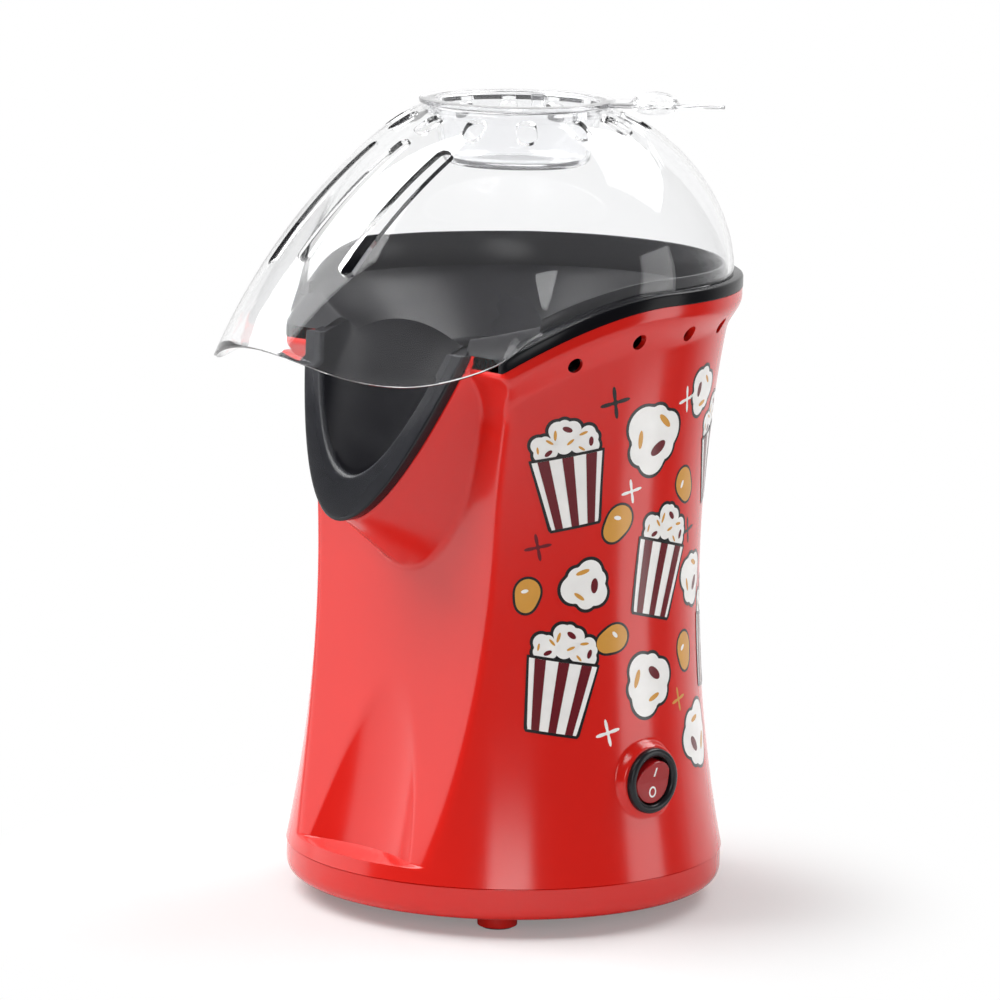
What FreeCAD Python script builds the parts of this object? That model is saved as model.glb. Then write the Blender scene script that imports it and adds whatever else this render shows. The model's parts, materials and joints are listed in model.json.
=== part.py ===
import FreeCAD, Part
import math
import os
import re
import Sketcher

Vector = FreeCAD.Vector

# A hot-air popcorn maker that stands on its feet, front towards -Y, up along +Z, in millimetres.
# Heights are counted from the surface it stands on. Pieces are drawn about the barrel's upright
# axis, and each one's Placement then moves that axis back, so that the origin lies under the middle.

SIZES = (
    ("waist_radius", 67.7, "barrel radius at its waist"),
    ("waist_height", 118, "height of the waist"),
    ("barrel_curve", 502, "radius of the barrel's hollow side line"),
    ("parting_height", 18, "joint between barrel and base"),
    ("parting_gap", 0.2, "open joint between barrel and base"),
    ("shell_wall", 2.5, "wall of the barrel"),
    ("rim_height", 219, "barrel's top edge at the back"),
    ("collar_radius", 80.4, "flared collar under the rim"),
    ("rim_ease", 7.6, "top edge's fall to the front, its radius over the collar's"),
    ("collar_band", 5, "upright part of the collar"),
    ("collar_cove", 10, "hollow part of the collar"),
    ("collar_reach", 57.4, "front corners of the collar, before the axis"),
    ("vent_diameter", 5.5, "air holes in the cove"),
    ("vent_drop", 11, "air holes below the rim"),
    ("vent_step", 18, "angle between air holes"),
    ("vent_count", 14, "air holes"),
    ("face_offset", 50, "front face before the axis at its hollow"),
    ("face_height", 140, "height of the front face's hollow"),
    ("face_curve", 356, "radius of the front face's side line"),
    ("flare_height", 178, "start of the front face's forward flare"),
    ("flare_curve", 25, "radius of that flare"),
    ("ledge_height", 23.4, "ledge at the foot of the front face"),
    ("scoop_depth", 5, "scoop in the front face, at the ledge"),
    ("scoop_radius", 72, "scoop's round across"),
    ("scoop_length", 57.5, "scoop from the ledge to its apex"),
    ("scoop_stretch", 2.18, "scoop's round along, to its round across"),
    ("scoop_lean", 14.8, "scoop's lean from upright"),
    ("beak_width", 80, "spout beak where it leaves the front face"),
    ("beak_top", 202, "top of the beak"),
    ("beak_foot", 120.5, "lowest point of the beak on the front face"),
    ("beak_wall", 2.5, "wall of the beak"),
    ("flange_width", 80.6, "chute mouth flange across its top"),
    ("flange_tip", 142, "lowest point of the flange"),
    ("flange_reach", 62.1, "flange's front before the axis, at its top"),
    ("flange_lean", 18.7, "flange's lean from upright"),
    ("flange_thickness", 5, "flange thickness"),
    ("mouth_width", 64.6, "chute mouth across its top"),
    ("mouth_tip", 157.7, "lowest point of the mouth"),
    ("sill_height", 207, "middle of the chute's sill"),
    ("sill_side", 200, "sides of the chute's sill"),
    ("sill_reach", 50, "sill before the axis"),
    ("chute_wall", 2.2, "wall of the chute insert"),
    ("band_lap", 0.2, "black band round the rim, beyond the collar"),
    ("band_height", 4.5, "height of that band"),
    ("wall_inset", 5.9, "upstanding wall inside the hood, from the collar"),
    ("wall_thickness", 1.5, "thickness of that wall"),
    ("wall_reach", 44, "ends of that wall, before the axis"),
    ("wall_height", 8.5, "top of that wall above the rim"),
    ("bowl_throat", 40, "popcorn bowl's lower radius"),
    ("bowl_floor", 192, "popcorn bowl's lower edge"),
    ("bowl_rise", 23, "popcorn bowl's height"),
    ("spigot_depth", 3.5, "insert's locating ring below the rim"),
    ("hood_inset", 3.1, "hood at the band, from the collar"),
    ("hood_wall", 2, "wall of the hood"),
    ("hood_gap", 0.3, "hood above the band"),
    ("hood_top", 281.5, "hood's top edge"),
    ("hood_opening", 32, "hood's top opening radius"),
    ("hood_reach", 122, "lip before the axis"),
    ("lip_flare", 1.41, "lip's cheeks beyond the hood's round"),
    ("lip_back", 51, "lip's corners before the axis"),
    ("lip_height", 200.8, "lip's middle height"),
    ("lip_wave", 5.4, "lip's rise and fall"),
    ("lip_period", 105, "angle of one rise and fall"),
    ("slot_width", 5, "hood slots across"),
    ("slot_length", 61.5, "hood slots along"),
    ("slot_spacing", 18.6, "hood slots apart"),
    ("slot_reach", 76.9, "slots' middle before the axis"),
    ("slot_height", 254.5, "slots' middle height"),
    ("slot_lean", 38.6, "slots' fall to the front"),
    ("hole_width", 7, "long holes round the hood's top"),
    ("hole_length", 12, "those holes, down the hood"),
    ("hole_ring", 42.5, "radius of the ring of holes"),
    ("hole_height", 277.5, "height of the ring of holes"),
    ("hole_lean", 32, "lean of the holes from upright"),
    ("hole_count", 14, "holes, evenly round the ring"),
    ("cup_rim", 34.5, "cup's rim radius"),
    ("cup_mouth", 30.5, "cup's outer radius under the rim"),
    ("cup_base", 25.4, "cup's outer radius at the bottom"),
    ("cup_depth", 23, "cup below its rim"),
    ("cup_wall", 1.6, "cup's wall"),
    ("cup_gap", 0.3, "cup's rim above the hood"),
    ("tab_reach", 73, "thumb tab's end from the axis"),
    ("tab_width", 24, "thumb tab at the rim"),
    ("tab_end", 9, "thumb tab at its end"),
    ("tab_turn", 129, "thumb tab's direction from the front"),
    ("base_radius", 77.5, "base plate at the parting line"),
    ("base_bottom", 6, "base plate's underside"),
    ("base_wall", 3, "base plate's floor"),
    ("base_round", 9, "round of the base's lower edge"),
    ("foot_radius", 7, "foot posts"),
    ("foot_spacing", 82, "feet apart, both ways"),
    ("pad_radius", 5.4, "foot pads"),
    ("pad_height", 2, "foot pads' height"),
    ("pad_proud", 0.6, "foot pads below their posts"),
    ("inlet_width", 4, "air inlet slots across"),
    ("inlet_length", 16, "air inlet slots along"),
    ("inlet_ring", 38, "air inlet slots from the axis"),
    ("inlet_count", 16, "air inlet slots"),
    ("switch_height", 52, "switch above the surface"),
    ("switch_face", 74, "switch collar's face from the axis"),
    ("switch_collar", 14.5, "red collar round the switch"),
    ("bezel_radius", 11.5, "switch bezel"),
    ("bezel_height", 2, "bezel's thickness"),
    ("barrel_radius", 10, "switch barrel in its hole"),
    ("barrel_length", 16, "switch barrel behind the bezel"),
    ("rocker_radius", 7.7, "rocker's round edge"),
    ("rocker_gap", 0.8, "rocker in its well"),
    ("rocker_tilt", 10, "rocker's tilt from the middle"),
    ("rocker_valley", 1, "rocker's middle before its pivot"),
    ("well_depth", 9.4, "rocker well behind the pivot"),
    ("terminal_width", 4.8, "switch terminals"),
    ("terminal_length", 8, "switch terminals behind the barrel"),
    ("terminal_sheet", 0.8, "terminal sheet"),
    ("lamp_radius", 2, "indicator lamp in the switch"),
    ("boss_ring", 66, "barrel's screw bosses from the axis"),
    ("boss_radius", 4, "screw bosses"),
    ("boss_top", 62, "top of the barrel's screw bosses"),
    ("base_screw_seat", 10, "base screws' heads above the surface"),
    ("base_screw_length", 20, "base screws over their heads"),
    ("post_radius", 4.5, "posts of the base plate"),
    ("post_ring", 49, "posts from the axis"),
    ("screw_radius", 1.6, "screw shanks"),
    ("screw_head", 3, "screw heads"),
    ("screw_head_height", 2, "screw heads' height"),
    ("screw_length", 6.5, "screws under their heads"),
    ("screw_gap", 0.05, "screws in their holes"),
    ("housing_bottom", 66, "fan housing's flange"),
    ("housing_flange", 52.2, "fan housing's flange radius"),
    ("housing_radius", 38, "fan housing's outer radius"),
    ("housing_wall", 2, "fan housing's wall"),
    ("housing_height", 34, "fan housing's height"),
    ("inlet_eye", 26, "fan housing's inlet radius"),
    ("duct_radius", 45.4, "heat shield's radius"),
    ("duct_sheet", 0.6, "heat shield's sheet"),
    ("duct_lip", 4, "heat shield's lip under the chamber's flange"),
    ("chamber_radius", 39, "popping chamber's outer radius"),
    ("chamber_sheet", 1, "popping chamber's sheet"),
    ("chamber_depth", 66, "popping chamber's depth"),
    ("chamber_flange", 54, "popping chamber's flange radius"),
    ("chamber_screws", 50, "chamber's screws from the axis"),
    ("seal_radius", 45, "seal's outer radius"),
    ("louvre_length", 18, "louvres in the chamber's wall"),
    ("louvre_width", 3, "louvres across"),
    ("louvre_count", 16, "louvres"),
    ("louvre_slant", 30, "louvres' slant from upright"),
    ("louvre_height", 8, "louvres above the chamber's floor"),
    ("seal_height", 1.6, "seal between chamber and chute"),
    ("seal_width", 3, "seal across"),
    ("mica_sheet", 0.5, "mica sheets"),
    ("former_width", 76, "mica former across"),
    ("former_height", 16, "mica former's height"),
    ("coil_radius", 26, "heater coil's ring"),
    ("coil_wire", 3.5, "heater coil's curl radius"),
    ("motor_radius", 14, "motor can"),
    ("motor_length", 32, "motor can's length"),
    ("motor_sheet", 1.2, "motor can's sheet"),
    ("endcap_height", 4, "motor end cap"),
    ("bridge_sheet", 2, "fan housing's motor bridge"),
    ("bridge_width", 7.2, "motor bridge across"),
    ("motor_screw_ring", 8.7, "motor's screws from the axis"),
    ("shaft_radius", 1.6, "motor shaft"),
    ("shaft_gap", 0.04, "shaft in its bushes"),
    ("shaft_stub", 26, "shaft above the motor"),
    ("bush_radius", 3.6, "motor bushes"),
    ("bush_length", 3.5, "motor bushes' length"),
    ("magnet_sheet", 2.2, "motor magnets"),
    ("magnet_space", 9.8, "open space between the motor magnets"),
    ("armature_gap", 0.6, "armature to magnets"),
    ("armature_length", 12, "armature stack"),
    ("winding_radius", 6.6, "armature windings"),
    ("winding_length", 3, "windings beyond the stack"),
    ("commutator_radius", 3.4, "commutator"),
    ("commutator_length", 5, "commutator's length"),
    ("brush_size", 2.6, "brush block"),
    ("brush_length", 5, "brush block's length"),
    ("brush_gap", 0.3, "brush to commutator"),
    ("fan_radius", 33, "fan's outer radius"),
    ("fan_inner", 18, "fan blades' inner radius"),
    ("fan_disc", 1.5, "fan's disc"),
    ("fan_drop", 3.5, "fan below the housing's top"),
    ("fan_blade", 13, "fan blades' height"),
    ("fan_hub", 5, "fan's hub radius"),
    ("fan_blades", 20, "fan blades"),
    ("clip_radius", 4, "fan's retaining clip"),
    ("clip_height", 1.2, "clip's thickness"),
    ("board_length", 36, "rectifier board"),
    ("board_width", 20, "rectifier board across"),
    ("board_sheet", 1.6, "rectifier board's thickness"),
    ("board_lift", 6, "rectifier board above the base"),
    ("standoff_radius", 2.5, "board's standoffs"),
    ("standoff_inset", 3, "standoffs inside the board's edges"),
    ("diode_length", 7, "rectifier diodes"),
    ("diode_radius", 1.4, "rectifier diodes' radius"),
    ("cutout_radius", 8, "thermostat"),
    ("cutout_height", 6, "thermostat's height"),
    ("fuse_radius", 2, "thermal fuse"),
    ("fuse_length", 12, "thermal fuse's length"),
    ("gland_height", 32, "cord gland above the surface"),
    ("gland_bore", 3.6, "cord gland's bore"),
    ("gland_radius", 7, "cord gland's flange"),
    ("gland_neck", 5.6, "cord gland in its hole"),
    ("gland_flange", 2.5, "cord gland's flange thickness"),
    ("gland_length", 9, "cord gland inside the barrel"),
    ("fit_gap", 0.3, "clearance of set-in pieces"),
)

doc = FreeCAD.newDocument("PopcornMaker")
sheet = doc.addObject("Spreadsheet::Sheet", "Sizes")
for row, (alias, number, note) in enumerate(SIZES, start=1):
    sheet.set(f"A{row}", note)
    sheet.set(f"B{row}", str(number))
    sheet.setAlias(f"B{row}", alias)
doc.recompute()

BAND = "(collar_radius + band_lap)"
RIM_CURVE = "(collar_radius + rim_ease)"
HOOD = "(collar_radius - hood_inset)"
INNER_WALL = "(collar_radius - wall_inset)"
BOWL_MOUTH = "(collar_radius - wall_inset - wall_thickness)"
AXIS_PLACE = f"(hood_reach - {BAND}) / 2"
FULL_TURN = 360
BOSS_TURNS = (65, 155, 205, 295)
POST_TURNS = (45, 135, 225, 315)
BARREL_LINES = 48
HOOD_LINES = 72
EXPRESSION_WORDS = ("sin", "cos", "deg")
nodes = []


def bound(formula):
    """A formula in size names, as an expression on the sheet's cells."""

    def cell(match):
        word = match.group(0)
        return word if word in EXPRESSION_WORDS else "Sizes." + word

    return re.sub(r"[a-z][a-z_]*", cell, formula)


def value(formula):
    """The number that a formula in size names gives."""
    return float(sheet.evalExpression(bound(formula)))


def count(alias):
    """A whole number from the sheet."""
    return int(round(value(alias)))


def node(label, feature):
    """Name a finished sub-part and move it to the origin that all sub-parts share."""
    feature.Label = label
    feature.setExpression("Placement.Base.y", bound(AXIS_PLACE))
    nodes.append(feature)
    return feature


def shaped(label, shape):
    """A sub-part whose free-form shape is worked out from the sheet."""
    feature = doc.addObject("Part::Feature", label)
    feature.Shape = shape
    return node(label, feature)


def cylinder(name, radius, height, place=("0", "0", "0"), rotation=None):
    """A cylinder bound to the sheet, standing on its place."""
    solid = doc.addObject("Part::Cylinder", name)
    solid.setExpression("Radius", bound(radius))
    solid.setExpression("Height", bound(height))
    return put(solid, place, rotation)


def box(name, sizes, place, rotation=None):
    """A box bound to the sheet, from its lowest corner."""
    solid = doc.addObject("Part::Box", name)
    for side, formula in zip(("Length", "Width", "Height"), sizes):
        solid.setExpression(side, bound(formula))
    return put(solid, place, rotation)


def put(solid, place, rotation=None):
    """Bind a primitive's place to the sheet and turn it."""
    if rotation:
        solid.Placement = FreeCAD.Placement(Vector(), FreeCAD.Rotation(*rotation))
    for axis, formula in zip("xyz", place):
        solid.setExpression(f"Placement.Base.{axis}", bound(formula))
    return solid


def fused(name, *parts):
    """One solid of several."""
    joined = doc.addObject("Part::MultiFuse", name)
    joined.Shapes = list(parts)
    return joined


def grouped(name, parts):
    """Separate solids that share one node."""
    group = doc.addObject("Part::Compound", name)
    group.Links = list(parts)
    return group


def cut(name, base, tool):
    """A base with a tool taken away."""
    rest = doc.addObject("Part::Cut", name)
    rest.Base = base
    rest.Tool = tool
    return rest


def turned(name, profile):
    """A body turned about the upright axis from (radius, height) formulas."""
    body = doc.addObject("PartDesign::Body", name)
    plane = next(item for item in body.Origin.OriginFeatures if item.Role == "XZ_Plane")
    sketch = body.newObject("Sketcher::SketchObject", name + "_profile")
    sketch.AttachmentSupport = (plane, [""])
    sketch.MapMode = "FlatFace"
    corners = [Vector(value(radius), value(height), 0) for radius, height in profile]
    following = corners[1:] + corners[:1]
    sketch.addGeometry([Part.LineSegment(a, b) for a, b in zip(corners, following)], False)
    last = len(corners)
    for line in range(last):
        sketch.addConstraint(Sketcher.Constraint("Coincident", line, 2, (line + 1) % last, 1))
    for line, formulas in enumerate(profile):
        for kind, formula in zip(("DistanceX", "DistanceY"), formulas):
            place = Sketcher.Constraint(kind, -1, 1, line, 1, value(formula))
            index = sketch.addConstraint(place)
            sketch.setExpression(f"Constraints[{index}]", bound(formula))
    turn = body.newObject("PartDesign::Revolution", name + "_turn")
    turn.Profile = sketch
    turn.ReferenceAxis = (sketch, ["V_Axis"])
    turn.Angle = FULL_TURN
    return body


def around(radius, degrees):
    """Plan place at a radius, with the angle counted from the front towards +X."""
    angle = math.radians(degrees)
    return Vector(radius * math.sin(angle), -radius * math.cos(angle), 0)


def even_turns(copies, start=0.0):
    """Angles of copies spread evenly round the axis."""
    return [start + FULL_TURN * item / copies for item in range(copies)]


def ring_seats(ring, turns, level):
    """Places at a level, at angles round the axis, as formulas."""
    return [(f"({ring}) * sin({turn} deg)", f"-({ring}) * cos({turn} deg)", level) for turn in turns]


def placed_ring(name, radius, height, ring, turns, bottom):
    """Upright cylinders at angles round the axis, bound to the sheet."""
    return [cylinder(f"{name}_{item}", radius, height, place)
            for item, place in enumerate(ring_seats(ring, turns, bottom))]


# Surfaces of the barrel, rim and front face


def rim_at(depth):
    """Height of the rim over a place, where depth runs from the front to the back."""
    if depth >= 0:
        return value("rim_height")
    curve = value(RIM_CURVE)
    return value("rim_height") - curve + math.sqrt(curve**2 - depth**2)


def prism(outline):
    """The closed outline in the mirror plane, drawn out to both sides past the whole object."""
    reach = 2 * value(BAND)
    face = Part.Face(Part.Wire(outline))
    face.translate(Vector(-reach, 0, 0))
    return face.extrude(Vector(2 * reach, 0, 0))


def straight(*points):
    """Lines from point to point."""
    return [Part.makeLine(a, b) for a, b in zip(points, points[1:])]


def below_rim(rise):
    """The space under the rim's surface raised by some height, cut off before the spout."""
    reach = 2 * value(BAND)
    fall_end = 80
    radius = value(RIM_CURVE) + rise
    middle = Vector(0, 0, value("rim_height") - value(RIM_CURVE))
    spots = []
    for share in (0, 0.5, 1):
        angle = math.radians(fall_end * share)
        spots.append(middle + Vector(0, -radius * math.sin(angle), radius * math.cos(angle)))
    start, through, end = spots
    outline = [Part.Arc(start, through, end).toShape()]
    outline += straight(end, Vector(0, end.y, 0), Vector(0, reach, 0), Vector(0, reach, start.z), start)
    return prism(outline)


def before_face(inset):
    """The space before the front face and above its ledge, or behind them by an inset."""
    reach = 2 * value(BAND)
    top = value("rim_height + wall_height") + reach
    ledge = value("ledge_height") - inset
    curve = value("face_curve") + inset
    hollow = -value("face_offset") + inset
    height = value("face_height")

    def on_face(level):
        return Vector(0, hollow - curve + math.sqrt(curve**2 - (height - level) ** 2), level)

    flare = value("flare_curve") + inset
    corner = -value("collar_reach") + inset
    flare_middle = Vector(0, hollow - flare, value("flare_height"))
    opening = math.acos((corner - flare_middle.y) / flare)
    spots = []
    for share in (0, 0.5, 1):
        angle = opening * share
        spots.append(flare_middle + Vector(0, flare * math.cos(angle), flare * math.sin(angle)))
    foot = on_face(ledge)
    bend = on_face(height)
    outline = [Part.Arc(foot, on_face((ledge + height) / 2), bend).toShape()]
    outline += straight(bend, spots[0])
    outline.append(Part.Arc(*spots).toShape())
    above = Vector(0, spots[2].y, top)
    outline += straight(spots[2], above, Vector(0, -reach, top), Vector(0, -reach, ledge), foot)
    return prism(outline)


def round_surface(rows, copies, plan):
    """A smooth closed surface round the axis; plan gives the control point of a row at an angle."""
    swell = 3 / (2 + math.cos(2 * math.pi / copies))
    net = []
    for item in range(copies):
        line = []
        for row in range(rows):
            spot = plan(FULL_TURN * item / copies, row)
            line.append(Vector(spot.x * swell, spot.y * swell, spot.z))
        net.append(line)
    degree = 3
    inner = rows - degree - 1
    surface = Part.BSplineSurface()
    along = [degree + 1] + [1] * inner + [degree + 1]
    surface.buildFromPolesMultsKnots(
        net, [1] * (copies + 1), along, list(range(copies + 1)), list(range(inner + 2)),
        True, False, degree, degree)
    return surface.toShape()


def end_edges(face):
    """The two closed edges of a surface round the axis, the lower one first."""
    closed = [edge for edge in face.Edges if edge.Closed]
    return sorted(closed, key=lambda edge: edge.BoundBox.ZMin)


def solid_of(faces):
    """A solid from faces that close a space."""
    shell = Part.Shell(faces)
    shell.sewShape()
    solid = Part.Solid(shell)
    if solid.Volume < 0:
        solid.reverse()
    return solid


def barrel(inset):
    """The waisted barrel with its flared collar, carried up past the rim, less an inset all round."""
    lower_rows = 8
    waist = value("waist_radius")
    shared = value("barrel_curve")
    collar = value("collar_radius")
    cove = value("collar_band + collar_cove")
    top = value("rim_height + wall_height + collar_cove")
    foot = value("parting_height")

    def side(level):
        return waist + shared - math.sqrt(shared**2 - (level - value("waist_height")) ** 2)

    # Shares of the cove's drop below the rim, and of the way from the barrel out to the collar
    steps = ((0.8, 0.1), (0.62, 0.45), (0.42, 0.95), (0.2, 1.0), (-0.2, 1.0))

    def plan(degrees, row):
        rim = rim_at(around(collar, degrees).y)
        start = rim - cove
        if row < lower_rows:
            level = foot + (start - foot) * row / (lower_rows - 1)
            radius = side(level)
        elif row < lower_rows + len(steps):
            drop, share = steps[row - lower_rows]
            level = rim - drop * cove
            radius = side(start) + (collar - side(start)) * share
        else:
            level = top
            radius = collar
        spot = around(radius - inset, degrees)
        return Vector(spot.x, spot.y, level)

    face = round_surface(lower_rows + len(steps) + 1, BARREL_LINES, plan)
    bottom, upper = end_edges(face)
    caps = [Part.Face(Part.Wire(edge)) for edge in (bottom, upper)]
    return solid_of([face] + caps)


def scoop(inset):
    """The long round scoop in the front face, cut off at the ledge."""
    across = value("scoop_radius")
    lean = math.radians(value("scoop_lean"))
    along = Vector(0, math.sin(lean), math.cos(lean))
    outward = Vector(0, -math.cos(lean), math.sin(lean))
    curve = value("face_curve")
    ledge = value("ledge_height")
    rise = value("face_height") - ledge
    foot = Vector(0, -value("face_offset") - curve + math.sqrt(curve**2 - rise**2), ledge)
    ball = Part.makeSphere(across + inset)
    stretch = FreeCAD.Matrix()
    stretch.scale(1, 1, value("scoop_stretch"))
    ball = ball.transformGeometry(stretch)
    ball.rotate(Vector(), Vector(1, 0, 0), -value("scoop_lean"))
    ball.translate(foot + outward * (across - value("scoop_depth")))
    room = 4 * across
    above = Part.makeBox(room, room, room, Vector(-room / 2, -room, ledge - inset))
    apex = foot.z + along.z * value("scoop_length") * 2
    reach = Part.makeBox(room, room, room, Vector(-room / 2, -room, apex))
    return ball.common(above).cut(reach)


# Spout beak and chute mouth


def flange_front(level):
    """Depth of the flange's front at a height."""
    fall = value("beak_top") - level
    return -value("flange_reach") - math.tan(math.radians(value("flange_lean"))) * fall


def bow(half_width, top, tip, place):
    """A round-bottomed V: a curve through its tip, with place giving the depth at a height."""
    control = 2 * tip - top
    poles = []
    for across, level in ((-half_width, top), (0, control), (half_width, top)):
        poles.append(Vector(across, place(level), level))
    curve = Part.BezierCurve()
    curve.setPoles(poles)
    return curve.toShape()


def bay(half_width, top, tip, depth):
    """A round-bottomed U with upright ends, in an upright plane."""
    control = top - (top - tip) * 4 / 3
    poles = []
    for across, level in ((-half_width, top), (-half_width, control),
                          (half_width, control), (half_width, top)):
        poles.append(Vector(across, depth, level))
    curve = Part.BezierCurve()
    curve.setPoles(poles)
    return curve.toShape()


def closed(curve):
    """A wire of a curve and the straight line between its ends."""
    ends = [vertex.Point for vertex in curve.Vertexes]
    return Part.Wire([curve, Part.makeLine(ends[-1], ends[0])])


def beak(inset, back, front):
    """The spout from a plane inside the front face to the flange, less an inset."""
    root = closed(bay(value("beak_width") / 2 - inset, value("beak_top"), value("beak_foot") + inset, back))
    half = value("flange_width") / 2 - inset
    tip = value("flange_tip") + inset
    mouth = closed(bow(half, value("beak_top"), tip, lambda level: flange_front(level) + front))
    return Part.makeLoft([root, mouth], True, True)


def leaning(curve, start, end):
    """A plate on the flange's lean, inside a curve, between two depths behind the flange's front."""
    low = value("flange_tip") - value("flange_width")
    high = value("beak_top")
    corners = []
    for level, depth in ((high, start), (low, start), (low, end), (high, end)):
        corners.append(Vector(0, flange_front(level) + depth, level))
    slab = prism(straight(*corners, corners[0]))
    face = Part.Face(closed(curve))
    reach = 2 * value(BAND)
    face.translate(Vector(0, -reach, 0))
    return face.extrude(Vector(0, 2 * reach, 0)).common(slab)


def flat(_level):
    """Depth of curves drawn in the plane of the axis."""
    return 0


def along_x(radius, start, end, level, depth=0.0):
    """A cylinder along X between two distances from the axis."""
    return Part.makeCylinder(radius, end - start, Vector(start, depth, level), Vector(1, 0, 0))


def body_shell():
    """Red barrel: waist, flat front face with scoop, spout beak, flared collar and switch collar."""
    wall = value("shell_wall")
    beak_wall = value("beak_wall")
    thickness = value("flange_thickness") / math.cos(math.radians(value("flange_lean")))
    inside = -value("face_offset") + wall
    trim = below_rim(0)
    level = value("switch_height")
    face = value("switch_face")
    collar = along_x(value("switch_collar"), value("waist_radius") / 2, face, level)
    outer = barrel(0).cut(before_face(0)).cut(scoop(0)).common(trim)
    outer = outer.fuse(beak(0, inside, thickness)).fuse(collar)
    hollow = barrel(wall).cut(before_face(wall)).cut(scoop(wall))
    hollow = hollow.cut(along_x(value("switch_collar"), face - 2 * wall, face, level))
    shell = outer.cut(hollow)
    foot = value("parting_height")
    for degrees in BOSS_TURNS:
        place = around(value("boss_ring"), degrees) + Vector(0, 0, foot)
        boss = Part.makeCylinder(value("boss_radius"), value("boss_top") - foot, place)
        hole = Part.makeCylinder(value("screw_radius + screw_gap"), value("base_screw_length"), place)
        shell = shell.fuse(boss).cut(hole)
    shell = shell.cut(beak(beak_wall, inside + 2 * wall, thickness - wall))
    shell = shell.cut(along_x(value("barrel_radius + fit_gap"), 0, 2 * face, level))
    drop = value("vent_drop")
    span = (count("vent_count") - 1) * value("vent_step")
    for item in range(count("vent_count")):
        degrees = FULL_TURN / 2 - span / 2 + item * value("vent_step")
        way = around(1, degrees)
        height = rim_at(around(value("collar_radius"), degrees).y) - drop
        start = around(value("waist_radius") - wall, degrees) + Vector(0, 0, height)
        vent = Part.makeCylinder(value("vent_diameter") / 2, value("collar_radius") / 2, start, way)
        shell = shell.cut(vent)
    gland = Part.makeCylinder(value("gland_neck + fit_gap"), 2 * face, Vector(0, 0, value("gland_height")),
                              Vector(0, 1, 0))
    return shell.cut(gland)


def ring_part(outer, inner, low, high, front):
    """Part of a ring between two rises over the rim, behind a depth before the axis."""
    top = value("rim_height + wall_height")
    tube = Part.makeCylinder(outer, top).cut(Part.makeCylinder(inner, top))
    tube = tube.common(below_rim(high)).cut(below_rim(low))
    reach = 2 * value(BAND)
    return tube.common(Part.makeBox(2 * reach, 2 * reach, top, Vector(-reach, -front, 0)))


def cone_shell(low_radius, high_radius, low, high, wall):
    """A funnel wall, thick straight down."""
    outline = straight(Vector(low_radius, 0, low), Vector(high_radius, 0, high),
                       Vector(high_radius, 0, high - wall), Vector(low_radius, 0, low - wall),
                       Vector(low_radius, 0, low))
    return Part.Face(Part.Wire(outline)).revolve(Vector(), Vector(0, 0, 1), FULL_TURN)


def slide(upper_edge, lower_edge, wall):
    """A ruled sheet between two curves, thick straight down."""
    drop = Vector(0, 0, -wall)
    high = [upper_edge, lower_edge]
    low = [edge.copy() for edge in high]
    for edge in low:
        edge.translate(drop)
    faces = [Part.makeRuledSurface(*high), Part.makeRuledSurface(*low)]
    faces += [Part.makeRuledSurface(a, b) for a, b in zip(high, low)]
    for end in (0, -1):
        first, second = (edge.Vertexes[end].Point for edge in high)
        faces.append(Part.Face(Part.Wire(straight(first, second, second + drop, first + drop, first))))
    return solid_of(faces)


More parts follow.
